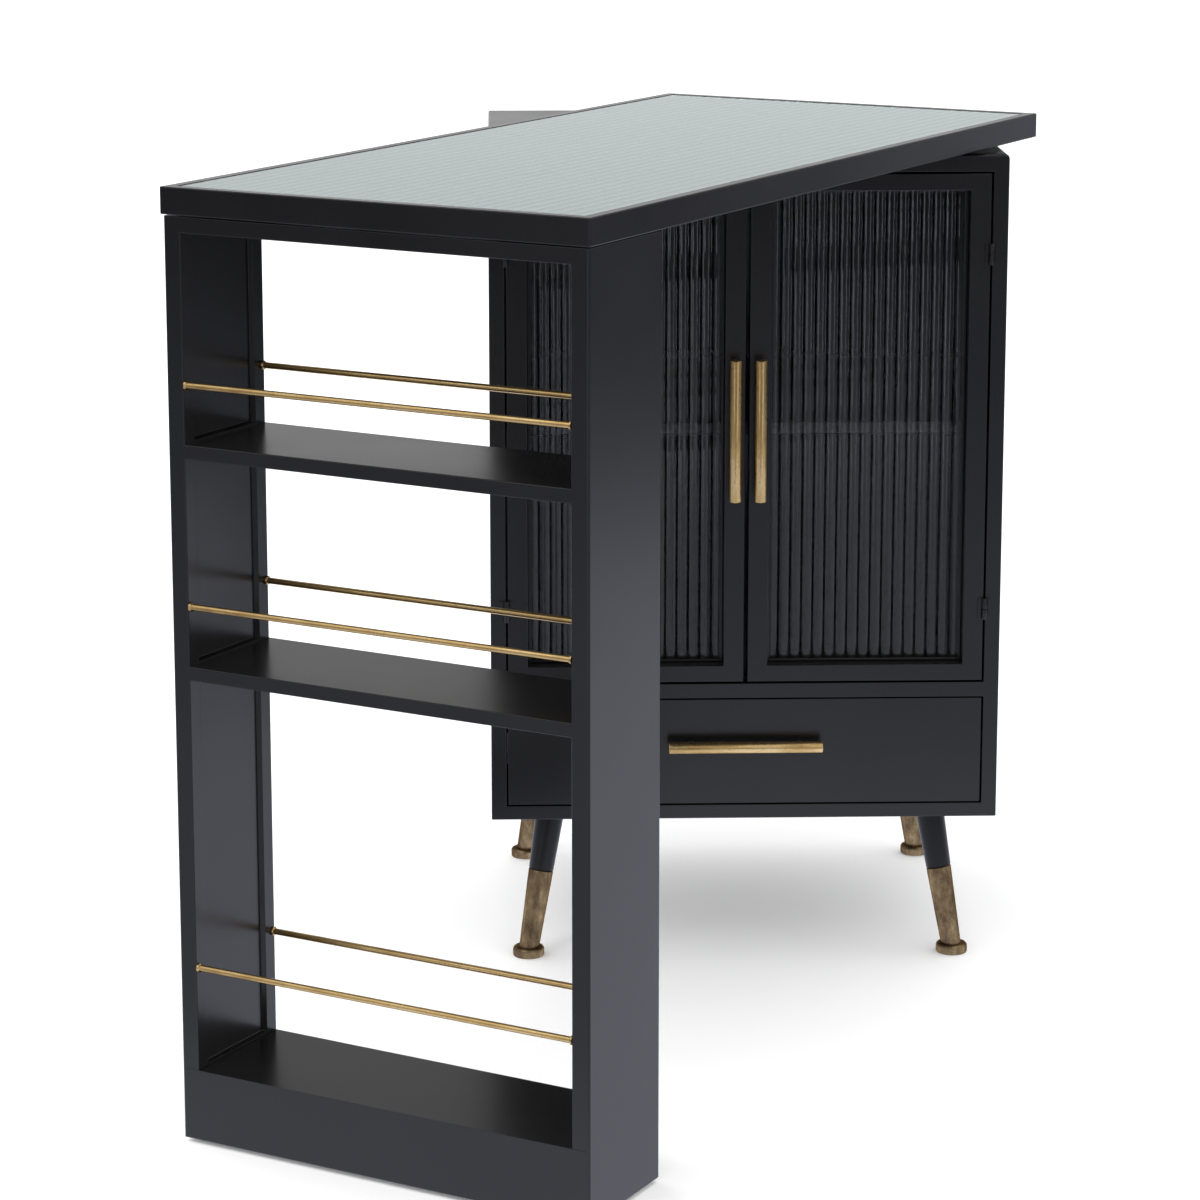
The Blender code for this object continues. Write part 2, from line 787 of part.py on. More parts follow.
def build_rack_side(side, outer, inner, table):
    """A side of the rack: front and back posts with a shallow recess between, and a skin down to the floor."""
    front, back = RACK_X
    sign = 1 if inner > outer else -1
    recess = inner - sign * RACK_RECESS
    outline = [
        (front, outer),
        (back, outer),
        (back, inner),
        (back - RACK_POST, inner),
        (back - RACK_POST, recess),
        (front + RACK_POST, recess),
        (front + RACK_POST, inner),
        (front, inner),
    ]
    panel = prism(f"rack_side_{side}", outline, (RACK_CLEARANCE, RACK_TOP), "Z", "powder_black", table)
    ys = sorted((outer + sign * RACK_SKIN, inner + sign * RACK_NOTCH_DEPTH))
    notch = block(
        f"cut_rack_base_{side}",
        (front - CUT_PAST, ys[0], 0),
        (back + CUT_PAST, ys[1], RACK_BASE_TOP + GAP),
        "powder_black",
        table,
    )
    boolean(panel, notch, "DIFFERENCE")
    bevel(panel, EDGE, segments=1)


def build_rack(table):
    front, back = RACK_X
    inner_low = RACK_Y[0] + RACK_STILE
    inner_high = RACK_Y[1] - RACK_STILE
    build_rack_side("right", RACK_Y[0], inner_low, table)
    build_rack_side("left", RACK_Y[1], inner_high, table)

    ys = (inner_low + GAP, inner_high - GAP)
    levels = {"rack_head": (RACK_TOP - RACK_HEAD, RACK_TOP)}
    levels.update({f"rack_shelf_{name}": span for name, span in RACK_SHELVES.items()})
    for name, (low, high) in levels.items():
        shelf = pan(name, (front, ys[0], low), (back, ys[1], high), (0, 0, -1), "powder_black", table)
        bevel(shelf, SHEET_EDGE, segments=1)
    skin = RACK_SKIN + GAP
    base = pan(
        "rack_base",
        (front, RACK_Y[0] + skin, RACK_CLEARANCE),
        (back, RACK_Y[1] - skin, RACK_BASE_TOP),
        (0, 0, -1),
        "powder_black",
        table,
    )
    bevel(base, SHEET_EDGE, segments=1)

    faces = {"front": front + RAIL_RADIUS, "back": back - RAIL_RADIUS}
    for level, height in RAIL_HEIGHTS.items():
        for face, x in faces.items():
            turned(
                f"rail_{level}_{face}",
                [(RAIL_RADIUS, 0), (RAIL_RADIUS, ys[1] - ys[0])],
                "aged_brass",
                table,
                segments=12,
                placed=aimed((x, ys[0], height), (x, ys[1], height)),
            )


def build_caster(side, y, table):
    """A fixed wheel whose axle points at the swivel's bolt, so that it rolls round it."""
    x = (RACK_X[0] + RACK_X[1]) / 2
    to_bolt = math.degrees(math.atan2(-y, -x))
    axle = frame_empty(f"caster_{side}_axis", (x, y, WHEEL_RADIUS), turn=to_bolt, parent=table)
    along_x = aimed((0, 0, 0), (1, 0, 0))
    half = WHEEL_WIDTH / 2
    turned(
        f"caster_{side}_wheel",
        [
            (WHEEL_BORE, -half),
            (WHEEL_RADIUS - WHEEL_CHAMFER, -half),
            (WHEEL_RADIUS, WHEEL_CHAMFER - half),
            (WHEEL_RADIUS, half - WHEEL_CHAMFER),
            (WHEEL_RADIUS - WHEEL_CHAMFER, half),
            (WHEEL_BORE, half),
        ],
        "black_rubber",
        axle,
        hollow=True,
        placed=along_x,
    )
    inside = half + CASTER_CLEAR
    outside = inside + CASTER_CHEEK
    top = RACK_BASE_TOP - SHEET - GAP - WHEEL_RADIUS
    foot = -CASTER_CROWN
    crown = WHEEL_RADIUS + CASTER_CROWN
    outline = [
        (-outside, foot),
        (-outside, top),
        (outside, top),
        (outside, foot),
        (inside, foot),
        (inside, crown),
        (-inside, crown),
        (-inside, foot),
    ]
    span = (-CASTER_REACH, CASTER_REACH)
    bracket = prism(f"caster_{side}_bracket", outline, span, "Y", "zinc_steel", axle)
    pin = turned(
        f"join_axle_{side}",
        [(AXLE_RADIUS, -outside - AXLE_END), (AXLE_RADIUS, outside + AXLE_END)],
        "zinc_steel",
        axle,
        segments=12,
        placed=along_x,
    )
    boolean(bracket, pin, "UNION")


# ---- All of it --------------------------------------------------------------------------------


def main():
    clear_scene()
    cabinet = frame_empty("cabinet_frame", -footprint_middle())
    build_carcass(cabinet)
    build_legs(cabinet)
    build_doors(cabinet)
    build_drawer(cabinet)
    table = frame_empty("table_axis", PIVOT, turn=TABLE_OPEN, parent=cabinet)
    pan_top = build_swivel(cabinet, table)
    build_table(table, pan_top)
    build_rack(table)
    build_caster("right", RACK_Y[0] + CASTER_INSET, table)
    build_caster("left", RACK_Y[1] - CASTER_INSET, table)


main()
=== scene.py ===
"""Looks for the swivel kitchen island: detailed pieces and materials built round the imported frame.

Metres, +Z up. Pieces of the cabinet are modelled in a frame on its middle, pieces of the table and
rack in a frame on the swivel's bolt with +X along the table, away from the rack.
"""

import json
import math

import bmesh
import bpy
from mathutils import Matrix, Vector


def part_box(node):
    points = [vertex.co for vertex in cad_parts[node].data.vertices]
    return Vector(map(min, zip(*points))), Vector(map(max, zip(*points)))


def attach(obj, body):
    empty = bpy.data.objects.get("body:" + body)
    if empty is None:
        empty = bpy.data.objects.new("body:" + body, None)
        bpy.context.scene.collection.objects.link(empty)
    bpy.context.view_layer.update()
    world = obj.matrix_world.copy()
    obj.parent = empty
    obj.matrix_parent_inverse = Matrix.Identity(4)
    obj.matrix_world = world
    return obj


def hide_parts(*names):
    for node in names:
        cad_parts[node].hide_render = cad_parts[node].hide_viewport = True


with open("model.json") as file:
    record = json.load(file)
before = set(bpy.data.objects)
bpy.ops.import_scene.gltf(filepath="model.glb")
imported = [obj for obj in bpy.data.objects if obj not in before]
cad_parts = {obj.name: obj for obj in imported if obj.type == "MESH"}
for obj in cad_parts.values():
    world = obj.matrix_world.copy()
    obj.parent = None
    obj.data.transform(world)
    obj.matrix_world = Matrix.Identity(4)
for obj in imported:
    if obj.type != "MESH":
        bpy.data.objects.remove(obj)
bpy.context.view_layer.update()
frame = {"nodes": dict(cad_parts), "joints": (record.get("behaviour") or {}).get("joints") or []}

JOINTS = {joint["name"]: joint for joint in frame["joints"]}
scene = bpy.context.scene

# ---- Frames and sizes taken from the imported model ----

CABINET_LOW, CABINET_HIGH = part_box("cabinet_top")
CABINET_MIDDLE = (CABINET_LOW + CABINET_HIGH) / 2
CABINET = Matrix.Translation((CABINET_MIDDLE.x, CABINET_MIDDLE.y, 0))
PIVOT = Vector(JOINTS["table_swivel"]["pos_m"])
TABLE_OPEN = math.radians(-JOINTS["table_swivel"]["range_deg"][0])
TABLE = Matrix.Translation((PIVOT.x, PIVOT.y, 0)) @ Matrix.Rotation(TABLE_OPEN, 4, "Z")


def extent(node, place=CABINET):
    """A CAD node's lowest and highest corner in a frame."""
    into = place.inverted()
    points = [into @ vertex.co for vertex in frame["nodes"][node].data.vertices]
    low = Vector([min(p[i] for p in points) for i in range(3)])
    high = Vector([max(p[i] for p in points) for i in range(3)])
    return low, high


# Roundings of edges
MICRO_EDGE = 0.0003
TINY_EDGE = 0.0005
FINE_EDGE = 0.0006
TUBE_EDGE = 0.0009
RIM_EDGE = 0.0012
RACK_EDGE = 0.0020
SHELL_EDGE = 0.0052

# Sheet and tube
SHEET = 0.0015
STILE = 0.016
DOOR_STILE = 0.021
DOOR_RAIL = 0.0175
GAP = 0.0003  # between pieces that are joined
DOOR_TOP_GAP = 0.0019
DRAWER_TOP_GAP = 0.0013
DRAWER_FOOT_GAP = 0.0015

# Back sheet: the pressing's distance from the sheet's rim, its slope, and its depth from the back
BACK_INSET = 0.0008
PRESS_MARGIN = 0.045
PRESS_FOLD = 0.006
PRESS_DEPTH = 0.0013
SCREW_INSET = 0.010
SCREW_ROWS = 5
SCREW_SEAT = 0.0005
SCREW_RADIUS = 0.0021

# Shelf and catch
SHELF_NOSE = 0.35  # how far the nose bulges, in half heights
SHELF_PIN_RADIUS = 0.003
SHELF_PIN_LENGTH = 0.009
SHELF_PIN_INSET = 0.045
SHELF_PIN_DROP = 0.0032
MAGNET_LOW = Vector((-0.0065, -0.0004, -0.0028))
MAGNET_HIGH = Vector((0.0065, 0.001, 0.0028))
MAGNET_X = 0.011
MAGNET_Z = 0.0065
MAGNET_SEAT = 0.0003
CATCH_SCREW_X = 0.0185
CATCH_SCREW_RADIUS = 0.0018

# Glass
FLUTE_PITCH = 0.0124
FLUTE_RISE = 0.0029
FLUTE_STEPS = 12
RIB_PITCH = 0.0138
RIB_RISE = 0.0007
RIB_STEPS = 8
BEAD = 0.003

# Legs: where each one's middle is at its two ends, its lips at the joint as (in from its side,
# away from the joint), and the outline of its foot as (radius, height)
LEG_TOP_XY = (0.203, 0.154)
LEG_FOOT_XY = (0.2286, 0.1796)
LEG_TOP_RADIUS = 0.0157
LEG_FOOT_RADIUS = 0.0106
LEG_FOOT_Z = 0.006
LEG_JOINT_Z = 0.092
LEG_STEPS = 10
LEG_BLACK_LIP = ((0.0012, 0), (0.0002, 0.0005), (0, 0.0016))
LEG_BRASS_LIP = ((0.0001, 0.0010), (0.0007, 0.0004))
LEG_BRASS_START = 0.001
LEG_SEAT = 0.0002
LEG_SPARE = (0.001, 0.008)  # made past its top, to be cut off level
FOOT_PROFILE = [(0, 0), (0.0150, 0), (0.0161, 0.0004), (0.0167, 0.0014), (0.0168, 0.0030), (0.0168, 0.0068),
                (0.0166, 0.0083), (0.0158, 0.0096), (0.0146, 0.0103), (0.0128, 0.0106), (0, 0.0106)]

# Handles
HANDLE_RADIUS = 0.0062
HANDLE_EDGE = 0.0011
HANDLE_STANDOFF = 0.018
HANDLE_POST_RADIUS = 0.003
HANDLE_POST_INSET = 0.024
HANDLE_COLLAR = ((0, 0.0022), (0.0009, 0.0012), (0.0012, 0))  # (out from the post, off the panel)

# Hinges: a plate's and its tab's reach from the pin, and the corner cut off a plate
HINGE_RADIUS = 0.003
HINGE_HALF_HEIGHT = 0.0112
HINGE_PIN = 0.0011
HINGE_PIN_TOP = 0.0088
HINGE_BORE_GAP = 0.0003
HINGE_PLAY = 0.0002
HINGE_THICK = 0.0012
HINGE_PLATE = (0.0034, 0.0070)
HINGE_TAB = (0.0016, 0.0042)
HINGE_CORNER = 0.0010

# Runners and the sheet under the table
RUNNER_WALL = 0.0016
STIFFENER_HALF = 0.012
STIFFENER_DEEP = 0.010
STIFFENER_INSET = 0.10
STIFFENER_ENDS = (0.15, 0.20)

# Bearing and bolt
RING_BORE = 0.0068
GROOVE = (0.004, 0.0052, 0.0088, 0.010)  # the ball groove's edges, in from the rim
GROOVE_DEPTH = 0.0008
HUB_COLLAR = 0.0024
HUB_RADIUS = 0.045
HUB_RIM_STEP = (0.0010, 0.0008)  # (in from the rim, over the collar)
HUB_STEPS = ((0.0005, 0.0016), (0, 0.0022))  # (out from the hub, over the collar)
BOLT_HEX_RADIUS = 0.0115
BOLT_HEX_END = 0.001  # below the head's top, as the flange's two faces are
BOLT_FLANGE = (0.0012, 0.0001)
BOLT_HEAD = 0.010
BOLT_EDGE = 0.0004
BOLT_COLLAR = 0.0120
BOLT_RADIUS = 0.006
BOLT_LOW_END = ((0.0004, 0.0006), (0, 0.001))  # (in from its side, over its foot)
BOLT_HIGH_END = ((0, 0.0008), (0.0008, 0))  # (in from its side, under its top)

# Rack
RACK_POST = 0.016
RACK_INSET = 0.002
RACK_SLOPE = 0.002
RACK_RECESS = 0.004
RACK_SKIN = 0.003
RAIL_END = ((0.0009, 0), (0.0009, 0.0017), (0.0004, 0.0022), (-0.0003, 0.0026))  # (proud, inwards)

# Casters: half outlines as (radius, in from the wheel's side) and (radius, out from the fork)
WHEEL_RADIUS = 0.025
WHEEL_HALF = 0.009
TYRE_HALF = ((0.0175, 0.0012), (0.022, 0), (0.0242, 0.0016), (WHEEL_RADIUS, 0.004))
HUB_HALF = ((0.0042, 0.0003), (0.0075, 0.0003), (0.0082, 0.0022), (0.0154, 0.0028), (0.0174, 0.0014))
AXLE_HEAD = ((0, 0.0014), (0.0030, 0.0013), (0.0046, 0.0006), (0.0050, -0.0002), (0.0035, -0.0002))
FORK_CLEAR = 0.0012
FORK_CHEEK = 0.003
FORK_BOSS = 0.008
FORK_REACH = 0.016
FORK_CROWN = 0.008
FORK_THICK = 0.0025
FORK_LAP = 0.0004
FORK_STEM = 0.0095
FORK_STEM_START = 0.0020
FORK_PLATE = (0.024, 0.020)

# ---- Shader nodes ----


def add_node(tree, kind, inputs=(), **settings):
    """A node with its settings made, and each input linked to a socket or set to a value."""
    node = tree.nodes.new("ShaderNode" + kind)
    for name, value in settings.items():
        setattr(node, name, value)
    for name, value in dict(inputs).items():
        if isinstance(value, bpy.types.NodeSocket):
            tree.links.new(value, node.inputs[name])
        else:
            node.inputs[name].default_value = value
    return node


def colour_ramp(tree, factor, stops):
    """A colour that changes with factor, from stops of (place between 0 and 1, colour)."""
    node = add_node(tree, "ValToRGB", {"Fac": factor})
    elements = node.color_ramp.elements
    while len(elements) < len(stops):
        elements.new(0.5)
    for element, (position, colour) in zip(elements, stops):
        element.position = position
        element.color = (*colour, 1.0)
    return node.outputs["Color"]


def blended(tree, factor, first, second, blend="MIX"):
    inputs = {0: factor, 6: first, 7: second}
    return add_node(tree, "Mix", inputs, data_type="RGBA", blend_type=blend).outputs[2]


class Shader:
    """A Principled material and short ways to add and join its nodes."""

    def __init__(self, name, **sockets):
        self.material = bpy.data.materials.new(name)
        self.material.use_nodes = True
        self.tree = self.material.node_tree
        self.surface = self.tree.nodes["Principled BSDF"]
        self.place = self.add("TexCoord").outputs["Object"]
        for socket, value in sockets.items():
            self.surface.inputs[socket.replace("_", " ")].default_value = value

    def add(self, kind, inputs=(), **settings):
        return add_node(self.tree, kind, inputs, **settings)

    def join(self, output, socket):
        self.tree.links.new(output, self.surface.inputs[socket])

    def stretched(self, scale):
        """Object coordinates scaled per axis, for patterns that run along a piece."""
        return self.add("Mapping", {"Vector": self.place, "Scale": scale}).outputs[0]

    def noise(self, scale, detail=3.0, roughness=0.5, vector=None):
        inputs = {"Vector": vector or self.place, "Scale": scale, "Detail": detail, "Roughness": roughness}
        return self.add("TexNoise", inputs).outputs["Fac"]

    def ramp(self, factor, *stops):
        return colour_ramp(self.tree, factor, stops)

    def spread(self, value, low, high, source=(0.3, 0.7)):
        """A noise value spread over the range from low to high."""
        inputs = {"Value": value, "To Min": low, "To Max": high}
        inputs["From Min"], inputs["From Max"] = source
        return self.add("MapRange", inputs).outputs["Result"]

    def mix(self, factor, first, second, blend="MIX"):
        return blended(self.tree, factor, first, second, blend)

    def bump(self, height, strength, distance, normal=None):
        inputs = {"Height": height, "Strength": strength, "Distance": distance}
        if normal:
            inputs["Normal"] = normal
        return self.add("Bump", inputs).outputs["Normal"]

    def patterned(self, colour, roughness, normal):
        """The material with its three patterns joined."""
        self.join(colour, "Base Color")
        self.join(roughness, "Roughness")
        self.join(normal, "Normal")
        return self.material

    def finish(self, surface):
        """Takes another shader than the Principled one for the material's surface."""
        self.tree.links.new(surface, self.tree.nodes["Material Output"].inputs["Surface"])


# ---- Materials ----


def powder_coat(name, colour=(0.0026, 0.0026, 0.0032), roughness=0.24, shine=0.5):
    """Satin black powder coat: orange peel, a slow change of gloss, and a trace of dust."""
    shader = Shader(name, Specular_IOR_Level=shine)
    cloud = shader.noise(5.0, 4.0, 0.6)
    dust = shader.noise(420.0, 2.0)
    lighter = tuple(c * 1.5 + 0.0005 for c in colour)
    base = shader.ramp(cloud, (0.35, colour), (0.72, lighter))
    speck = shader.spread(dust, 0.0, 0.05, (0.66, 0.80))
    base = shader.mix(speck, base, (0.10, 0.10, 0.10, 1.0))
    gloss = shader.spread(shader.noise(7.0, 4.0, 0.5), roughness - 0.02, roughness + 0.03)
    peel = shader.bump(shader.noise(520.0, 2.0), 0.08, 0.0002)
    peel = shader.bump(shader.noise(95.0, 2.0), 0.025, 0.0006, peel)
    return shader.patterned(base, gloss, peel)


def aged_brass(name):
    """Drawn brass bar with a patina: long cloudy streaks, fine draw lines and dark specks."""
    shader = Shader(name, Metallic=1.0)
    patina = shader.noise(120.0, 6.0, 0.62, shader.stretched((1.0, 1.0, 0.16)))
    spots = shader.noise(420.0, 4.0, 0.6)
    tones = ((0.28, (0.370, 0.228, 0.085)), (0.50, (0.660, 0.458, 0.198)), (0.74, (0.880, 0.682, 0.385)))
    base = shader.ramp(patina, *tones)
    base = shader.mix(shader.spread(spots, 0.0, 0.55, (0.56, 0.75)), base, (0.22, 0.130, 0.050, 1.0))
    lines = shader.noise(1500.0, 2.0, 0.5, shader.stretched((1.0, 1.0, 0.02)))
    relief = shader.bump(lines, 0.12, 0.0001, shader.bump(spots, 0.12, 0.0001))
    return shader.patterned(base, shader.spread(patina, 0.36, 0.20), relief)


def antique_brass(name):
    """Chemically darkened brass: brown blotches over dull yellow, with pits."""
    shader = Shader(name, Metallic=1.0, Specular_Tint=(0.42, 0.36, 0.32, 1.0))
    blotch = shader.noise(75.0, 8.0, 0.74, shader.stretched((1.0, 1.0, 0.42)))
    pits = shader.noise(700.0, 3.0, 0.6)
    tones = ((0.32, (0.085, 0.058, 0.038)), (0.44, (0.170, 0.118, 0.068)), (0.56, (0.270, 0.195, 0.105)),
             (0.70, (0.470, 0.360, 0.200)))
    base = shader.ramp(blotch, *tones)
    base = shader.mix(shader.spread(pits, 0.0, 0.5, (0.56, 0.74)), base, (0.070, 0.046, 0.026, 1.0))
    relief = shader.bump(pits, 0.25, 0.0002, shader.bump(blotch, 0.10, 0.0004))
    return shader.patterned(base, shader.spread(blotch, 0.50, 0.28), relief)


def clear_glass(name, tint, sheen=(1.0, 1.0, 1.0), bend=1.5):
    """Glass whose shadow is clear, so that light reaches what is behind it.

    sheen is a thin tinted layer's colour, which also colours what the glass reflects.
    """
    shader = Shader(name, Base_Color=(*tint, 1.0), Transmission_Weight=1.0, IOR=bend, Coat_Weight=1.0,
                    Coat_IOR=1.01, Coat_Tint=(*sheen, 1.0))
    smear = shader.noise(9.0, 3.0, 0.5)
    shader.join(shader.spread(smear, 0.0, 0.035), "Roughness")
    clear = shader.add("BsdfTransparent", {"Color": (*tint, 1.0)}).outputs[0]
    shadow = shader.add("LightPath").outputs["Is Shadow Ray"]
    both = shader.add("MixShader", {0: shadow, 1: shader.surface.outputs[0], 2: clear})
    shader.finish(both.outputs[0])
    return shader.material


def zinc(name):
    """Bright zinc plate with a faint spangle and handling marks."""
    shader = Shader(name, Metallic=1.0)
    spangle = shader.noise(160.0, 3.0)
    base = shader.ramp(spangle, (0.3, (0.40, 0.40, 0.42)), (0.7, (0.58, 0.58, 0.58)))
    relief = shader.bump(shader.noise(900.0, 2.0), 0.08, 0.0001)
    return shader.patterned(base, shader.spread(spangle, 0.38, 0.24), relief)


def rubber(name):
    """Black moulded rubber, dusty where it has rolled."""
    shader = Shader(name)
    grime = shader.noise(260.0, 5.0, 0.7)
    base = shader.ramp(grime, (0.35, (0.012, 0.012, 0.012)), (0.75, (0.055, 0.052, 0.048)))
    return shader.patterned(base, shader.spread(grime, 0.6, 0.85), shader.bump(grime, 0.2, 0.0002))


COAT = powder_coat("powder_coat")
SHELF_COAT = powder_coat("powder_coat_shelves", roughness=0.30)
LEG_COAT = powder_coat("powder_coat_legs", (0.0045, 0.0045, 0.0052), 0.33, 0.27)
BRASS = aged_brass("aged_brass_bars")
BRONZE = antique_brass("antique_brass_legs")
DOOR_GLASS = clear_glass("fluted_glass", (0.90, 0.93, 0.92), bend=1.42)
TABLE_GLASS = clear_glass("ribbed_glass", (0.80, 0.90, 0.88), (0.986, 1.0, 1.0))
ZINC = zinc("zinc_plate")
RUBBER = rubber("wheel_rubber")

# ---- Mesh helpers ----

WELD = 1e-6  # corners nearer than this are one
ROUNDED_FROM = math.radians(40)  # edges that turn more than this are rounded


def new_object(name, data):
    obj = bpy.data.objects.new(name, data)
    scene.collection.objects.link(obj)
    return obj


def piece(name, bm, material, body, place, stands_for=(), edge=0.0, segments=2, crease=35, softer=None):
    """Makes a piece from a bmesh, rounds its sharp edges, and rides it on its body.

    softer gives an edge's own share, up to 1, of the rounding: a function of its two ends.
    """
    bmesh.ops.remove_doubles(bm, verts=bm.verts, dist=WELD)
    bmesh.ops.recalc_face_normals(bm, faces=bm.faces)
    if softer:
        share = bm.edges.layers.float.new("bevel_weight_edge")
        for line in bm.edges:
            if line.calc_face_angle(0.0) > ROUNDED_FROM:
                line[share] = softer(line.verts[0].co, line.verts[1].co)
    if material is not BRASS:  # only a brass bar's pattern follows the piece's own length
        bm.transform(place)
        place = Matrix.Identity(4)
    mesh = bpy.data.meshes.new(name)
    bm.to_mesh(mesh)
    bm.free()
    mesh.shade_smooth()
    mesh.set_sharp_from_angle(angle=math.radians(crease))
    obj = new_object(name, mesh)
    mesh.materials.append(material)
    if edge:
        rounding = obj.modifiers.new("edges", "BEVEL")
        rounding.width = edge
        rounding.segments = segments
        rounding.limit_method = "WEIGHT" if softer else "ANGLE"
        rounding.angle_limit = ROUNDED_FROM
        rounding.harden_normals = True
    obj.matrix_world = place
    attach(obj, body)
    if stands_for:
        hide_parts(*([stands_for] if isinstance(stands_for, str) else stands_for))
    return obj


def add_box(bm, low, high):
    low, high = Vector(low), Vector(high)
    placed = Matrix.Translation((low + high) / 2) @ Matrix.Diagonal((*(high - low), 1.0))
    bmesh.ops.create_cube(bm, size=1.0, matrix=placed)


def rectangle(us, vs):
    """A rectangle's four corners, in turn."""
    return [(us[0], vs[0]), (us[1], vs[0]), (us[1], vs[1]), (us[0], vs[1])]


def join_rings(bm, rings):
    """Faces between each two rings of four corners, and over the first ring and the last."""
    for near, far in zip(rings, rings[1:]):
        for k in range(4):
            n = (k + 1) % 4
            bm.faces.new([near[k], near[n], far[n], far[k]])
    bm.faces.new(rings[0])
    bm.faces.new(rings[-1])


def add_plate(bm, us, vs, openings, span, flat="XZ"):
    """A plate on a grid of lines in the plane flat, with some of the grid's cells left open."""

    def corner(i, j, side):
        u, v, depth = us[i], vs[j], span[side]
        return Vector({"XZ": (u, depth, v), "XY": (u, v, depth), "YZ": (depth, u, v)}[flat])

    def filled(i, j):
        return 0 <= i < len(us) - 1 and 0 <= j < len(vs) - 1 and (i, j) not in openings

    for i in range(len(us) - 1):
        for j in range(len(vs) - 1):
            if not filled(i, j):
                continue
            ring = [(i, j), (i + 1, j), (i + 1, j + 1), (i, j + 1)]
            for side in (0, 1):
                bm.faces.new([bm.verts.new(corner(a, b, side)) for a, b in ring])
            beside = [(i, j - 1), (i + 1, j), (i, j + 1), (i - 1, j)]
            for (a, b), (c, d), near in zip(ring, ring[1:] + ring[:1], beside):
                if not filled(*near):
                    points = (corner(a, b, 0), corner(c, d, 0), corner(c, d, 1), corner(a, b, 1))
                    bm.faces.new([bm.verts.new(p) for p in points])


def dissolve_flat(bm):
    """Joins the grid's coplanar faces, so that rounding meets only real edges."""
    bmesh.ops.remove_doubles(bm, verts=bm.verts, dist=WELD)
    bmesh.ops.dissolve_limit(bm, angle_limit=math.radians(1), verts=bm.verts, edges=bm.edges)


def add_prism(bm, outline, low, high, along="Z"):
    """An outline swept between two depths: (x, y) along Z, (x, z) along Y or (y, z) along X."""

    def at(point, depth):
        u, v = point
        return Vector({"Z": (u, v, depth), "Y": (u, depth, v), "X": (depth, u, v)}[along])

    lower = [bm.verts.new(at(p, low)) for p in outline]
    upper = [bm.verts.new(at(p, high)) for p in outline]
    bm.faces.new(lower)
    bm.faces.new(list(reversed(upper)))
    for k in range(len(outline)):
        n = (k + 1) % len(outline)
        bm.faces.new([lower[n], lower[k], upper[k], upper[n]])


def add_lathe(bm, profile, placed=None, segments=48, closed=False):
    """A profile of (radius, height) points turned about Z. A zero radius makes a pole."""
    placed = placed or Matrix.Identity(4)
    turns = [2 * math.pi * k / segments for k in range(segments)]
    rings = []
    for radius, height in profile:
        if radius < WELD:
            rings.append([bm.verts.new(placed @ Vector((0, 0, height)))] * segments)
        else:
            points = [Vector((radius * math.cos(t), radius * math.sin(t), height)) for t in turns]
            rings.append([bm.verts.new(placed @ p) for p in points])
    pairs = list(zip(rings, rings[1:]))
    if closed:
        pairs.append((rings[-1], rings[0]))
    for lower, upper in pairs:
        for k in range(segments):
            n = (k + 1) % segments
            corners = list(dict.fromkeys([lower[k], lower[n], upper[n], upper[k]]))
            if len(corners) > 2:
                bm.faces.new(corners)
    if not closed:
        for ring in (rings[0], rings[-1]):
            if len(set(ring)) > 2:
                bm.faces.new(ring)


def arc(middle, reach, rise, degrees):
    """Points of an ellipse round its middle, at degrees from its first axis."""
    turns = [math.radians(angle) for angle in degrees]
    return [(middle[0] + reach * math.cos(t), middle[1] + rise * math.sin(t)) for t in turns]


def rounded(radius, start, end, edge):
    """A bar's outline with its two ends rounded over by edge, closed on the axis."""
    lower = arc((radius - edge, start + edge), edge, edge, (-90, -67.5, -45, -22.5, 0))
    upper = arc((radius - edge, end - edge), edge, edge, (0, 22.5, 45, 67.5, 90))
    return [(0, start), *lower, *upper, (0, end)]


def aimed(start, end):
    """Puts a piece made along +Z from its origin so that it runs from start towards end."""
    start, end = Vector(start), Vector(end)
    return Matrix.Translation(start) @ (end - start).to_track_quat("Z", "Y").to_matrix().to_4x4()


def add_screw(bm, point, out, radius=SCREW_RADIUS):
    """A button-head screw with a drive socket, standing off a face at point along out."""
    rise = radius * 0.45
    dome = arc((0, rise * 0.30), radius, rise * 0.70, (0, 22, 44, 64))
    socket = [(radius * 0.40, rise), (radius * 0.36, rise * 0.30), (0, rise * 0.25)]
    add_lathe(bm, [(radius * 0.96, 0), *dome, *socket], aimed(point, Vector(point) + Vector(out)), 20)


# ---- Cabinet ----

SIDES = (("left", -1), ("right", 1))
TOP_LOW, TOP_HIGH = extent("cabinet_top")
BOTTOM = extent("cabinet_bottom")[0].z
DECK_TOP = extent("drawer_deck")[1].z
BACK_LOW, BACK_HIGH = extent("cabinet_back")
HALF_WIDTH = TOP_HIGH.x
FRONT = TOP_LOW.y
INNER_HALF = HALF_WIDTH - STILE
DOOR_TOP = extent("door_right_frame")[1].z
DRAWER_LOW, DRAWER_HIGH = extent("drawer_front")
DOOR_BAY = (DECK_TOP + GAP, DOOR_TOP + DOOR_TOP_GAP)
DRAWER_BAY = (DRAWER_LOW.z - DRAWER_FOOT_GAP, DRAWER_HIGH.z + DRAWER_TOP_GAP)


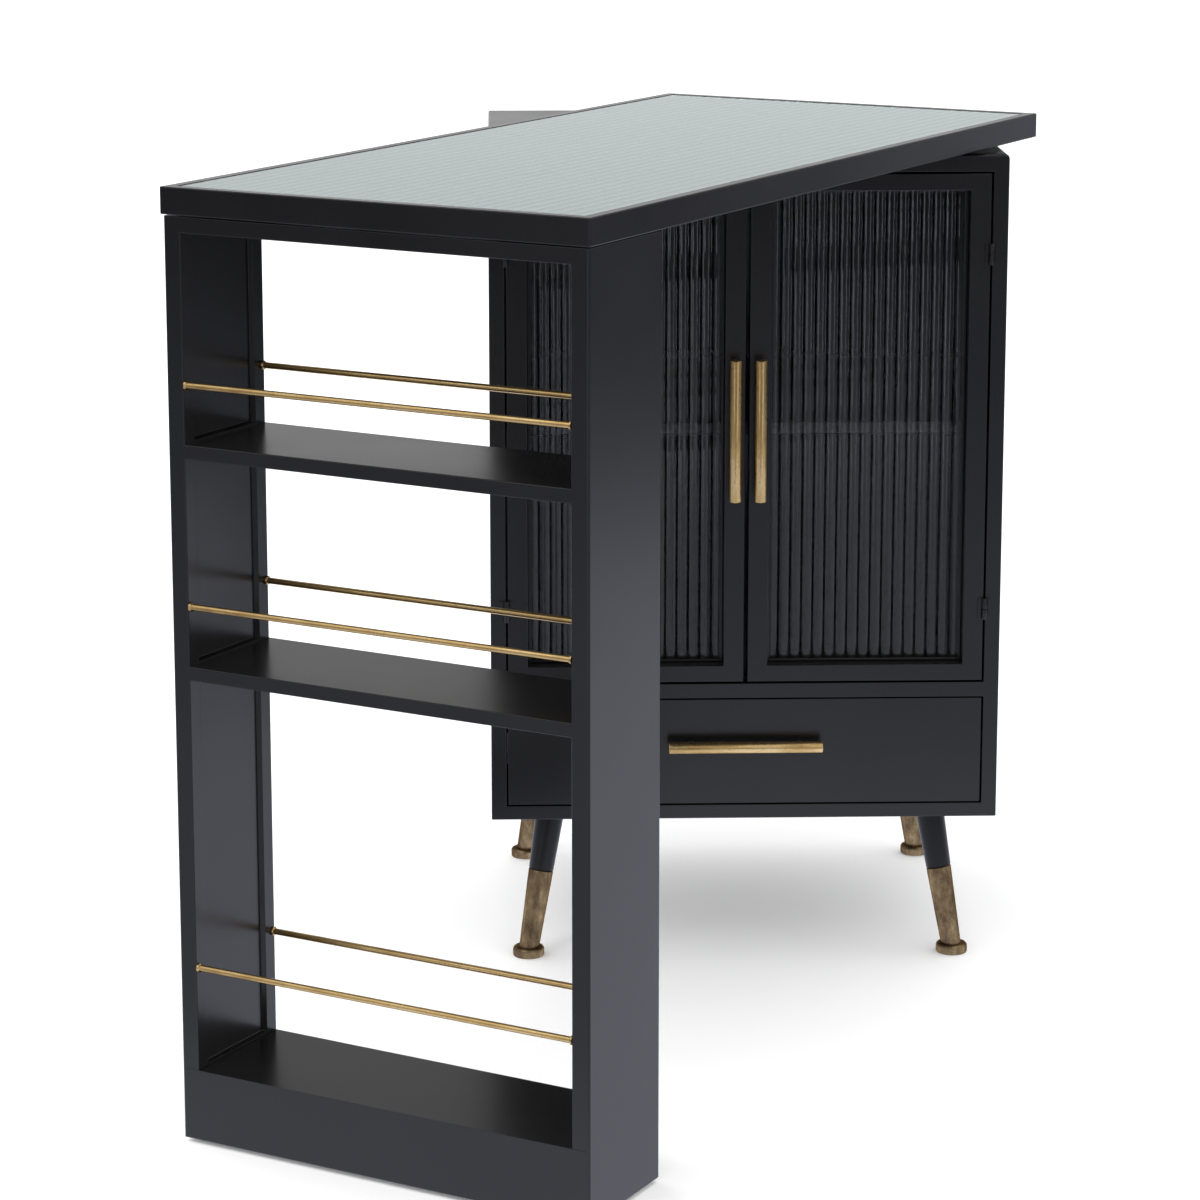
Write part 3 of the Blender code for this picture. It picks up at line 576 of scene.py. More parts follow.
def make_shell():
    """The welded carcass: one box with a bay for the doors and one for the drawer."""
    bm = bmesh.new()
    xs = [-HALF_WIDTH, -INNER_HALF, INNER_HALF, HALF_WIDTH]
    zs = [BOTTOM, *DRAWER_BAY, *DOOR_BAY, TOP_HIGH.z]
    add_plate(bm, xs, zs, {(1, 1), (1, 3)}, (FRONT, BACK_LOW.y - GAP))
    dissolve_flat(bm)

    def softer(a, b):
        """Full along the top's right side, less along its other sides, a little elsewhere."""
        on_top = a.z > TOP_HIGH.z - GAP and b.z > TOP_HIGH.z - GAP
        if on_top and abs(a.x - b.x) < GAP:
            return 1.0 if a.x > 0 else 0.4
        outside = abs(a.x) > HALF_WIDTH - GAP and abs(b.x) > HALF_WIDTH - GAP
        return 0.5 if on_top else (0.24 if outside else 0.14)

    panels = ["cabinet_top", "cabinet_bottom", "cabinet_side_left", "cabinet_side_right", "face_frame",
              "drawer_deck"]
    piece("cabinet_shell", bm, COAT, "cabinet", CABINET, panels, SHELL_EDGE, segments=5, softer=softer)


def make_back():
    """The back sheet, pressed inwards round its middle for stiffness, and its screws."""
    half, low, high = HALF_WIDTH - BACK_INSET, BACK_LOW.z, BACK_HIGH.z
    front, back, press = BACK_LOW.y, BACK_HIGH.y - SCREW_SEAT, BACK_HIGH.y - PRESS_DEPTH

    def inset_by(margin):
        return rectangle((margin - half, half - margin), (low + margin, high - margin))

    bm = bmesh.new()
    outer, rim, floor = inset_by(0), inset_by(PRESS_MARGIN), inset_by(PRESS_MARGIN + PRESS_FOLD)
    loops = [(outer, front), (outer, back), (rim, back), (floor, press)]
    join_rings(bm, [[bm.verts.new((x, y, z)) for x, z in points] for points, y in loops])
    piece("cabinet_back_sheet", bm, COAT, "cabinet", CABINET, "cabinet_back", edge=FINE_EDGE)

    side, bottom, top = half - SCREW_INSET, low + SCREW_INSET, high - SCREW_INSET
    rows = [bottom + (top - bottom) * step / (SCREW_ROWS - 1) for step in range(SCREW_ROWS)]
    places = [(x, z) for z in rows for x in (-side, side)]
    places += [(x, z) for x in (-half / 3, half / 3) for z in (bottom, top)]
    bm = bmesh.new()
    for x, z in places:
        add_screw(bm, (x, back - SCREW_SEAT, z), (0, 1, 0))
    piece("back_screws", bm, ZINC, "cabinet", CABINET)


def make_shelf():
    """The inner shelf: a folded sheet with a rounded front nose, on four pins."""
    low, high = extent("cabinet_shelf")
    nose, middle = (high.z - low.z) / 2, (low.z + high.z) / 2
    reach = nose * SHELF_NOSE
    outline = arc((low.y + reach, middle), reach, nose, [90 + 22.5 * k for k in range(9)])
    outline += [(high.y, low.z), (high.y, high.z)]
    bm = bmesh.new()
    add_prism(bm, outline, low.x, high.x, "X")
    piece("inner_shelf", bm, SHELF_COAT, "cabinet", CABINET, "cabinet_shelf", edge=FINE_EDGE)
    bm = bmesh.new()
    for sign in (-1, 1):
        for y in (low.y + SHELF_PIN_INSET, high.y - SHELF_PIN_INSET):
            start = Vector((sign * INNER_HALF, y, low.z - SHELF_PIN_DROP))
            pin = rounded(SHELF_PIN_RADIUS, 0, SHELF_PIN_LENGTH, FINE_EDGE)
            add_lathe(bm, pin, aimed(start, start - Vector((sign, 0, 0))), 20)
    piece("shelf_pins", bm, ZINC, "cabinet", CABINET)


def make_catch():
    """The doors' magnetic catch: a housing with two magnets and two screws."""
    low, high = extent("door_catch")
    bm = bmesh.new()
    add_box(bm, low, (high.x, high.y, DOOR_BAY[1]))
    piece("magnetic_catch", bm, COAT, "cabinet", CABINET, "door_catch", edge=RIM_EDGE, segments=3)
    bm = bmesh.new()
    for sign in (-1, 1):
        middle = Vector((sign * MAGNET_X, low.y - MAGNET_SEAT, low.z + MAGNET_Z))
        add_box(bm, middle + MAGNET_LOW, middle + MAGNET_HIGH)
        seat = (sign * CATCH_SCREW_X, (low.y + high.y) / 2, low.z)
        add_screw(bm, seat, (0, 0, -1), CATCH_SCREW_RADIUS)
    piece("catch_magnets", bm, ZINC, "cabinet", CABINET, edge=MICRO_EDGE)


def make_leg(depth, sign_y, side, sign_x):
    """A splayed leg: a black tapered tube into a brass one, with a spun foot that stands flat."""
    top_z = extent(f"leg_upper_{depth}_{side}")[1].z
    top = Vector((sign_x * LEG_TOP_XY[0], sign_y * LEG_TOP_XY[1], top_z))
    foot = Vector((sign_x * LEG_FOOT_XY[0], sign_y * LEG_FOOT_XY[1], LEG_FOOT_Z))
    length = (top - foot).length
    wide, narrow = LEG_TOP_RADIUS, LEG_FOOT_RADIUS
    joint = length * (LEG_JOINT_Z - foot.z) / (top.z - foot.z)
    placed = aimed(foot, top)

    def radius(along):
        return narrow + (wide - narrow) * along / length

    bm = bmesh.new()
    girth = radius(joint)
    tube = [(girth - inwards, joint + up) for inwards, up in LEG_BLACK_LIP]
    tube += [(wide, length + spare) for spare in LEG_SPARE]
    add_lathe(bm, tube, placed)
    whole = [*bm.verts, *bm.edges, *bm.faces]
    level = (0, 0, top.z + LEG_SEAT)
    cut = bmesh.ops.bisect_plane(bm, geom=whole, plane_co=level, plane_no=(0, 0, 1), clear_outer=True)
    rim = [e for e in cut["geom_cut"] if isinstance(e, bmesh.types.BMEdge)]
    bmesh.ops.holes_fill(bm, edges=rim)
    piece(f"leg_{depth}_{side}_black", bm, LEG_COAT, "cabinet", CABINET, f"leg_upper_{depth}_{side}")

    bm = bmesh.new()
    start = LEG_BRASS_START
    taper = [(radius(joint * k / LEG_STEPS), joint * k / LEG_STEPS) for k in range(1, LEG_STEPS)]
    lip = [(girth - inwards, joint - down) for inwards, down in LEG_BRASS_LIP]
    add_lathe(bm, [(0, start), (radius(start), start), *taper, *lip, (0, lip[-1][1])], placed)
    add_lathe(bm, FOOT_PROFILE, Matrix.Translation((foot.x, foot.y, 0)))
    piece(f"leg_{depth}_{side}_brass", bm, BRONZE, "cabinet", CABINET, f"leg_lower_{depth}_{side}")


# ---- Bars, doors and drawer ----


def make_handle(name, node, axis, front, body):
    """A round brass bar along an axis, 0 for X or 2 for Z, on two posts with small collars; the posts are
    coated black as painted shade, standing for the shadow behind the bar.
    """
    low, high = extent(node)
    start = (low + high) / 2
    start.y = front - HANDLE_STANDOFF
    end = start.copy()
    start[axis], end[axis] = low[axis], high[axis]
    length = (end - start).length
    placed = CABINET @ aimed(start, end)
    bm = bmesh.new()
    add_lathe(bm, rounded(HANDLE_RADIUS, 0, length, HANDLE_EDGE), None, 40)
    piece(name, bm, BRASS, body, placed, node)
    bm = bmesh.new()
    towards = placed.to_quaternion().inverted() @ Vector((0, 1, 0))
    reach, slim = HANDLE_STANDOFF - GAP, HANDLE_POST_RADIUS
    post = [(slim, HANDLE_RADIUS * 0.6), *[(slim + out, reach - off) for out, off in HANDLE_COLLAR]]
    for along in (HANDLE_POST_INSET, length - HANDLE_POST_INSET):
        centre = Vector((0, 0, along))
        add_lathe(bm, post, aimed(centre, centre + towards), 24)
    # painted shade: the posts take the black coat, not brass, to stand for the shadow behind the bar
    piece(f"{name}_posts", bm, COAT, body, placed)


def make_hinge(side, sign, place):
    """A weld-on barrel hinge: a lower knuckle with the pin on the frame, an upper one on the door."""
    axis = CABINET.inverted() @ Vector(JOINTS[f"door_{side}_hinge"]["pos_m"])
    half, soft = HINGE_HALF_HEIGHT, FINE_EDGE
    face = FRONT - GAP
    plate_in, plate_out = HINGE_PLATE
    corner = plate_out - HINGE_CORNER
    for label, body, out in (("frame", "cabinet", sign), ("door", f"door_{side}", -sign)):
        node = f"hinge_{side}_{place}_{label}_leaf"
        low, high = extent(node)
        bm = bmesh.new()
        if label == "frame":
            middle = low.z + half
            bottom, top = middle - half, middle - HINGE_PLAY
        else:
            middle = high.z - half
            bottom, top = middle + HINGE_PLAY, middle + half
        tall = top - bottom
        placed = Matrix.Translation((axis.x, axis.y, bottom))
        if label == "frame":
            pin = rounded(HINGE_PIN, HINGE_PLAY, half + HINGE_PIN_TOP, MICRO_EDGE)
            add_lathe(bm, pin, placed, 20)
            add_lathe(bm, rounded(HINGE_RADIUS, 0, tall, soft), placed, 32)
        else:
            bore, slim = HINGE_PIN + HINGE_BORE_GAP, HINGE_RADIUS - soft
            knuckle = [(bore, 0), (slim, 0), (HINGE_RADIUS, soft), (HINGE_RADIUS, tall - soft)]
            knuckle += [(HINGE_RADIUS - soft * 0.3, tall - soft * 0.3), (slim, tall), (bore, tall)]
            add_lathe(bm, knuckle, placed, 32, closed=True)
        low_z, high_z = middle - half, middle + half
        plate = [(plate_in, low_z), (corner, low_z), (plate_out, low_z + HINGE_CORNER),
                 (plate_out, high_z - HINGE_CORNER), (corner, high_z), (plate_in, high_z)]
        for outline in (plate, rectangle(HINGE_TAB, (bottom, top))):
            add_prism(bm, [(axis.x + out * x, z) for x, z in outline], face - HINGE_THICK, face, "Y")
        piece(f"hinge_{side}_{place}_{label}", bm, COAT, body, CABINET, node, edge=MICRO_EDGE)


def fluted_sheet(bm, width, height, thick, pitch, rise, steps):
    """A glass sheet about its middle in X, from 0 up in Z, with round flutes on its -Y face."""
    count = round(width / pitch)
    half = width / count / 2
    radius = (half * half + rise * rise) / (2 * rise)
    outline = []
    for flute in range(count):
        for k in range(steps):
            u = half * (2 * k / steps - 1)
            swell = math.sqrt(radius * radius - u * u) - (radius - rise)
            outline.append((-width / 2 + half * (2 * flute + 1) + u, -swell))
    outline += [(width / 2, 0.0), (width / 2, thick - rise), (-width / 2, thick - rise)]
    add_prism(bm, outline, 0, height, "Z")


def make_door(side, sign):
    """A door: its tube frame, its fluted glass and the beads round it, its handle and its hinges."""
    low, high = extent(f"door_{side}_frame")
    body = f"door_{side}"
    bm = bmesh.new()
    xs = [low.x, low.x + DOOR_STILE, high.x - DOOR_STILE, high.x]
    zs = [low.z, low.z + DOOR_RAIL, high.z - DOOR_RAIL, high.z]
    add_plate(bm, xs, zs, {(1, 1)}, (low.y, high.y))
    dissolve_flat(bm)
    piece(f"door_{side}_tube_frame", bm, COAT, body, CABINET, f"door_{side}_frame", TUBE_EDGE, segments=3)

    glass_low, glass_high = extent(f"door_{side}_glass")
    width, height = glass_high.x - glass_low.x, glass_high.z - glass_low.z
    bm = bmesh.new()
    fluted_sheet(bm, width, height, glass_high.y - glass_low.y, FLUTE_PITCH, FLUTE_RISE, FLUTE_STEPS)
    middle = Vector(((glass_low.x + glass_high.x) / 2, glass_low.y + FLUTE_RISE, glass_low.z))
    placed = CABINET @ Matrix.Translation(middle)
    piece(f"door_{side}_fluted_glass", bm, DOOR_GLASS, body, placed, f"door_{side}_glass", crease=20)

    bm = bmesh.new()
    back = glass_low.y - GAP
    front = back - BEAD
    for x in (xs[1], xs[2] - BEAD):
        add_box(bm, (x, front, zs[1]), (x + BEAD, back, zs[2]))
    for z in (zs[1], zs[2] - BEAD):
        add_box(bm, (xs[1] + BEAD, front, z), (xs[2] - BEAD, back, z + BEAD))
    piece(f"door_{side}_glass_bead", bm, COAT, body, CABINET, edge=TUBE_EDGE, segments=3)

    make_handle(f"door_{side}_bar_handle", f"door_{side}_handle", 2, low.y, body)
    for place in ("lower", "upper"):
        make_hinge(side, sign, place)


def add_tray(bm, low, high, axis):
    """A sheet tray whose mouth is towards the high end of an axis: 1 for +Y, 2 for +Z."""
    u, v = [i for i in range(3) if i != axis]
    wall = Vector((SHEET, SHEET, SHEET))

    def corners(a, b, depth):
        points = []
        for p, q in rectangle((a[u], b[u]), (a[v], b[v])):
            point = Vector((0, 0, 0))
            point[u], point[v], point[axis] = p, q, depth
            points.append(bm.verts.new(point))
        return points

    levels = ((0, low[axis]), (0, high[axis]), (1, high[axis]), (1, low[axis] + SHEET))
    join_rings(bm, [corners(low + wall * inside, high - wall * inside, depth) for inside, depth in levels])


def make_drawer():
    """The drawer: a folded front, a folded box, its handle and two runners."""
    low, high = extent("drawer_front")
    bm = bmesh.new()
    add_tray(bm, low, high, 1)
    piece("drawer_front_panel", bm, COAT, "drawer", CABINET, "drawer_front", TUBE_EDGE, segments=3)

    bm = bmesh.new()
    add_tray(bm, *extent("drawer_box"), 2)
    piece("drawer_tray", bm, SHELF_COAT, "drawer", CABINET, "drawer_box", edge=FINE_EDGE)
    make_handle("drawer_bar_handle", "drawer_handle", 0, low.y, "drawer")

    for side, sign in SIDES:
        node = f"drawer_runner_{side}_slide"
        bm = bmesh.new()
        add_box(bm, *extent(node))
        piece(f"runner_{side}_slide", bm, ZINC, "drawer", CABINET, node, edge=RIM_EDGE, segments=3)
        node = f"drawer_runner_{side}_rail"
        low, high = extent(node)
        inner, outer = (low.x, high.x) if sign > 0 else (high.x, low.x)
        web, foot, head = outer - sign * RUNNER_WALL, low.z + RUNNER_WALL, high.z - RUNNER_WALL
        outline = [(outer, low.z), (outer, high.z), (inner, high.z), (inner, head),
                   (web, head), (web, foot), (inner, foot), (inner, low.z)]
        bm = bmesh.new()
        add_prism(bm, outline, low.y, high.y, "Y")
        piece(f"runner_{side}_channel", bm, ZINC, "cabinet", CABINET, node, edge=TINY_EDGE)


# ---- Swivel and table ----


def make_swivel():
    """The turntable bearing: two spun rings, the lower with a ball groove, and the bolt through them."""
    low, high = extent("swivel_base_ring", TABLE)
    radius, foot, face, soft = high.x, low.z, high.z, FINE_EDGE
    groove = [radius - inwards for inwards in GROOVE]
    floor = face - GROOVE_DEPTH
    bm = bmesh.new()
    ring = [(RING_BORE, foot), (radius, foot), (radius, face - soft), (radius - soft, face)]
    ring += [(groove[0], face), (groove[1], floor), (groove[2], floor), (groove[3], face), (RING_BORE, face)]
    add_lathe(bm, ring, None, 96, closed=True)
    piece("bearing_lower_ring", bm, ZINC, "cabinet", TABLE, "swivel_base_ring")
    low, high = extent("swivel_hub", TABLE)
    foot, collar = low.z, low.z + HUB_COLLAR
    bm = bmesh.new()
    hub = [(RING_BORE, foot), (radius - soft, foot), (radius, foot + soft), (radius, collar)]
    hub += [(radius - HUB_RIM_STEP[0], collar + HUB_RIM_STEP[1])]
    hub += [(HUB_RADIUS + out, collar + up) for out, up in HUB_STEPS]
    hub += [(HUB_RADIUS, high.z), (RING_BORE, high.z)]
    add_lathe(bm, hub, None, 96, closed=True)
    piece("bearing_hub", bm, ZINC, "table", TABLE, "swivel_hub")
    low, high = extent("pivot_bolt", TABLE)
    foot, top, head = low.z, high.z, low.z + BOLT_HEAD
    bm = bmesh.new()
    add_prism(bm, arc((0, 0), BOLT_HEX_RADIUS, BOLT_HEX_RADIUS, range(0, 360, 60)), foot, head - BOLT_HEX_END)
    under, over = [head - down for down in BOLT_FLANGE]
    add_lathe(bm, [(0, under), (BOLT_COLLAR, under), (BOLT_COLLAR, over), (0, over)], None, 40)
    shank = [(BOLT_RADIUS - inwards, foot + up) for inwards, up in BOLT_LOW_END]
    shank += [(BOLT_RADIUS - inwards, top - down) for inwards, down in BOLT_HIGH_END]
    add_lathe(bm, [(0, shank[0][1]), *shank, (0, top)], None, 32)
    piece("pivot_bolt_and_nut", bm, ZINC, "cabinet", TABLE, "pivot_bolt", edge=BOLT_EDGE)


def make_table():
    """The table top: a welded rim, ribbed glass, and the sheet below it with two stiffeners."""
    low, high = extent("table_frame", TABLE)
    glass_low, glass_high = extent("table_glass", TABLE)
    xs = [low.x, glass_low.x - GAP, glass_high.x + GAP, high.x]
    ys = [low.y, glass_low.y - GAP, glass_high.y + GAP, high.y]
    bm = bmesh.new()
    add_plate(bm, xs, ys, {(1, 1)}, (low.z, high.z), "XY")
    dissolve_flat(bm)
    piece("table_rim", bm, COAT, "table", TABLE, "table_frame", edge=RIM_EDGE, segments=4)

    width, length = glass_high.y - glass_low.y, glass_high.x - glass_low.x
    bm = bmesh.new()
    fluted_sheet(bm, width, length, glass_high.z - glass_low.z, RIB_PITCH, RIB_RISE, RIB_STEPS)
    # lays the sheet down: its height along the table, its width across, its ribs below
    lie = Matrix(((0, 0, 1, 0), (1, 0, 0, 0), (0, 1, 0, 0), (0, 0, 0, 1)))
    foot = Vector((glass_low.x, (glass_low.y + glass_high.y) / 2, glass_low.z + RIB_RISE))
    placed = TABLE @ Matrix.Translation(foot) @ lie
    piece("table_ribbed_glass", bm, TABLE_GLASS, "table", placed, "table_glass", crease=8)

    low, high = extent("table_pan", TABLE)
    bm = bmesh.new()
    add_box(bm, low, high)
    start, end = low.x + STIFFENER_ENDS[0], high.x - STIFFENER_ENDS[1]
    for y in (low.y + STIFFENER_INSET, high.y - STIFFENER_INSET):
        add_box(bm, (start, y - STIFFENER_HALF, low.z - STIFFENER_DEEP), (end, y + STIFFENER_HALF, low.z))
    piece("table_under_sheet", bm, SHELF_COAT, "table", TABLE, "table_pan", edge=FINE_EDGE)


# ---- Rack ----


def make_carcass():
    """The rack's welded body: plinth, sides, shelves and head in one, open below for the wheels.

    A slit under each post shows where it stands on the plinth. The sides are recessed between the posts.
    """
    right, left = extent("rack_side_right", TABLE), extent("rack_side_left", TABLE)
    plinth = extent("rack_base", TABLE)[1].z
    shelves = [extent(f"rack_shelf_{name}", TABLE) for name in ("lower", "upper")]
    head = extent("rack_head", TABLE)[0].z
    front, back, floor, top = right[0].x, right[1].x, right[0].z, right[1].z
    ys = [right[0].y, right[0].y + RACK_SKIN, right[1].y, left[0].y, left[1].y - RACK_SKIN, left[1].y]
    zs = [floor, plinth, plinth + GAP, *[z for low, high in shelves for z in (low.z, high.z)], head, top]
    bays = [(zs[2], zs[3]), (zs[4], zs[5]), (zs[6], zs[7])]
    bm = bmesh.new()
    add_plate(bm, ys, zs, {(1, 1), (2, 1), (3, 1), (2, 2), (2, 4), (2, 6)}, (front, back), "YZ")
    dissolve_flat(bm)
    bm.faces.ensure_lookup_table()

    def recess(*loops):
        """Faces from each loop of four corners to the next, and over the last one."""
        faces = []
        for outer, inner in zip(loops, loops[1:]):
            faces += [(outer[k], outer[(k + 1) % 4], inner[(k + 1) % 4], inner[k]) for k in range(4)]
        for points in (*faces, loops[-1]):
            bm.faces.new([bm.verts.new(p) for p in points])

    def inset(post, margin, low, high):
        return rectangle((front + post, back - post), (low + margin, high - margin))

    def face_at(middle):
        return min(bm.faces, key=lambda f: (f.calc_center_median() - middle).length)

    flat_faces = []  # what the recesses take the place of
    for y, out in ((ys[2], -1), (ys[3], 1)):
        for low, high in bays:
            flat_faces.append(face_at(Vector(((front + back) / 2, y, (low + high) / 2))))
            edge, rim = inset(0, 0, low, high), inset(RACK_POST, RACK_INSET, low, high)
            deep = inset(RACK_POST + RACK_SLOPE, RACK_INSET + RACK_SLOPE, low, high)
            steps = ((edge, y), (rim, y), (deep, y + out * RACK_RECESS))
            recess(*[[(u, depth, v) for u, v in loop] for loop, depth in steps])
    middle = Vector(((front + back) / 2, (ys[0] + ys[-1]) / 2, floor))
    flat_faces.append(face_at(middle))
    edge = rectangle((front, back), (ys[0], ys[-1]))
    rim = rectangle((front + SHEET, back - SHEET), (ys[1], ys[4]))
    ceiling = [(u, v, plinth - SHEET) for u, v in rim]
    recess([(u, v, floor) for u, v in edge], [(u, v, floor) for u, v in rim], ceiling)
    bmesh.ops.delete(bm, geom=list(dict.fromkeys(flat_faces)), context="FACES")
    panels = ["rack_side_right", "rack_side_left", "rack_head", "rack_base", "rack_shelf_upper",
              "rack_shelf_lower"]

    def softer(a, b):
        """Full on the outer uprights, less on the plinth and in the recesses, none in the slits."""
        if all(plinth - GAP < p.z < plinth + 2 * GAP for p in (a, b)):
            return 0.4 if abs(a.y - b.y) > ys[3] - ys[2] else 0.0
        if all(front + FINE_EDGE < p.x < back - FINE_EDGE for p in (a, b)):
            return 0.3
        upright = abs(a.z - b.z) > RACK_POST and all(abs(p.y - middle.y) > ys[4] - middle.y for p in (a, b))
        return 1.0 if upright else 0.5

    body = piece("rack_carcass", bm, COAT, "table", TABLE, panels, RACK_EDGE, segments=3, softer=softer)
    body.modifiers["edges"].use_clamp_overlap = False


def make_rail(level, face):
    """A guard rail: a thin drawn bar with a small collar at each of its ends."""
    node = f"rail_{level}_{face}"
    low, high = extent(node, TABLE)
    radius = (high.z - low.z) / 2
    start = (low + high) / 2
    end = start.copy()
    start.y, end.y = low.y, high.y
    near = [(0, 0), *[(radius + proud, inwards) for proud, inwards in RAIL_END]]
    far = [(r, high.y - low.y - inwards) for r, inwards in reversed(near)]
    bm = bmesh.new()
    add_lathe(bm, near + far, None, 32)
    piece(f"guard_{level}_{face}", bm, BRASS, "table", TABLE @ aimed(start, end), node)


def mirrored(profile):
    """A profile, and after it the same one in reverse on the other side of 0."""
    return profile + [(r, -z) for r, z in reversed(profile)]


def make_caster(side):
    """A fixed caster: a pressed fork with a riveted axle, and a wheel with a hub and a rubber tyre."""
    axis = Vector(JOINTS[f"caster_{side}_roll"]["axis"])
    centre = Vector(JOINTS[f"caster_{side}_roll"]["pos_m"])
    placed = aimed(centre, centre + axis)
    if (placed.to_3x3() @ Vector((0, 1, 0))).z < 0.5:  # the fork's Y has to point up
        placed = placed @ Matrix.Rotation(math.pi / 2, 4, "Z")
    radius, half, body = WHEEL_RADIUS, WHEEL_HALF, f"caster_{side}"
    bm = bmesh.new()
    add_lathe(bm, mirrored([(r, inwards - half) for r, inwards in TYRE_HALF]), None, 64, closed=True)
    piece(f"caster_{side}_tyre", bm, RUBBER, body, placed, f"caster_{side}_wheel")
    bm = bmesh.new()
    add_lathe(bm, mirrored([(r, inwards - half) for r, inwards in HUB_HALF]), None, 64, closed=True)
    piece(f"caster_{side}_hub", bm, ZINC, body, placed)

    cheek_in = half + FORK_CLEAR
    cheek_out = cheek_in + FORK_CHEEK
    reach, crown = FORK_REACH, radius + FORK_CROWN
    top = crown + FORK_THICK
    plate_top = extent("rack_base", TABLE)[1].z - SHEET - GAP - radius
    outline = arc((0, 0), FORK_BOSS, FORK_BOSS, range(200, 341, 14))  # round under the axle
    outline += [(reach, radius), (reach, top), (-reach, top), (-reach, radius)]
    bm = bmesh.new()
    for low, high in ((-cheek_out, -cheek_in), (cheek_in, cheek_out)):
        add_prism(bm, outline, low, high)
    lap = cheek_in + FORK_LAP
    add_box(bm, (-reach, crown, -lap), (reach, top, lap))
    upwards = aimed((0, crown + FORK_STEM_START, 0), (0, plate_top, 0))
    tall = plate_top - crown - 2 * FORK_STEM_START
    add_lathe(bm, [(0, 0), (FORK_STEM, 0), (FORK_STEM, tall), (0, tall)], upwards)
    wide, deep = FORK_PLATE
    add_box(bm, (-wide, plate_top - FORK_THICK, -deep), (wide, plate_top, deep))
    add_lathe(bm, mirrored([(r, -cheek_out - out) for r, out in AXLE_HEAD]), None, 24)
    piece(f"caster_{side}_fork", bm, ZINC, "table", placed, f"caster_{side}_bracket", edge=TINY_EDGE)


# ---- Every piece ----

make_shell()
make_back()
make_shelf()
make_catch()
for depth, sign_y in (("front", -1), ("back", 1)):
    for side, sign_x in SIDES:
        make_leg(depth, sign_y, side, sign_x)
for side, sign in SIDES:
    make_door(side, sign)
make_drawer()
make_swivel()
make_table()
make_carcass()
for level in ("upper", "middle", "lower"):
    for face in ("front", "back"):
        make_rail(level, face)
for side in ("left", "right"):
    make_caster(side)

# ---- Floor, light and camera ----

CAMERA_PLACE = (-0.1354, -3.6867, 1.3123)
CAMERA_DOWN = 11.554  # degrees below level
CAMERA_RIGHT = 1.602  # degrees to the right of +Y
CAMERA_LENS = 112.5
CAMERA_SHIFT = -0.1
LAMP_PLACE = (-2.2, -2.4, 3.4)
LAMP_TARGET = (0, 0, 0.5)
WORLD_STRENGTH = 1.5
FLOOR_HALF = 40.0
# Seen in reflections only: levels by metres along the floor or by height, shares by degrees from +X
FLOOR_POOL = 8.0
FLOOR_FRONT = ((0.0, 1.0), (0.70, 1.0), (0.95, 0.66), (1.6, 0.58), (3.0, 0.46), (4.2, 0.30),
               (5.2, 0.14), (7.0, 0.06))
FLOOR_SIDE = ((0.0, 1.0), (2.1, 1.0), (2.8, 0.52), (3.6, 0.16), (5.5, 0.08))
FLOOR_STRIP = ((0.0, 1.0), (0.70, 1.0), (0.95, 0.66), (1.6, 0.60), (2.2, 0.9), (3.0, 1.5), (8.0, 1.5))
FLOOR_BACK = ((0.0, 1.0), (1.2, 0.95), (2.0, 0.55), (3.2, 0.45), (4.2, 0.95), (8.0, 0.95))
FLOOR_TINT = (0.95, 0.98, 1.13, 1.0)
FLOOR_SIDE_SPAN = ((-60, 0), (-5, 1), (180, 1))
BACKDROP_SPAN = ((32, 0), (42, 0.9), (50, 1), (130, 1), (138, 0.9), (148, 0))
STRIP_SPANS = ((-134, 0), (-132, 1), (-118, 1), (-116, 0), (-66, 0), (-64, 1), (-54, 1), (-52, 0))
ROOM_LEVELS = ((0.0, 0.30), (0.15, 0.45), (0.5, 0.80), (0.8, 0.90))
STRIP_LEVELS = ((0.0, 1.0), (0.55, 1.0), (0.62, 0.30))
BACKDROP_LEVELS = ((0.0, 0.95), (0.13, 0.92), (0.21, 0.50), (0.38, 0.37), (0.60, 0.30))


def falloff(tree, distance, stops):
    """A grey level that changes with a distance or an angle, from stops of (place, level)."""
    return colour_ramp(tree, distance, [(place, (level, level, level)) for place, level in stops])


def lit_for_gloss(tree, plain, glossy):
    """A shader that is plain to the eye and to soft light, and glossy's brightness to reflections."""
    reflected = add_node(tree, "LightPath").outputs["Is Glossy Ray"]
    return add_node(tree, "MixShader", {0: reflected, 1: plain, 2: glossy}).outputs[0]


def bearing(tree, place):
    """A direction round the vertical, from 0 through 0.5 at +X to 1, and the place's three axes."""
    axes = add_node(tree, "SeparateXYZ", {0: place}).outputs
    angle = add_node(tree, "Math", {0: axes["Y"], 1: axes["X"]}, operation="ARCTAN2").outputs[0]
    inputs = {"Value": angle, "From Min": -math.pi, "From Max": math.pi}
    return add_node(tree, "MapRange", inputs).outputs["Result"], axes


def share_round(tree, turn, spans):
    """A share that changes with a bearing, from stops of (degrees round from +X, share)."""
    return falloff(tree, turn, [((degrees + 180) / 360, share) for degrees, share in spans])


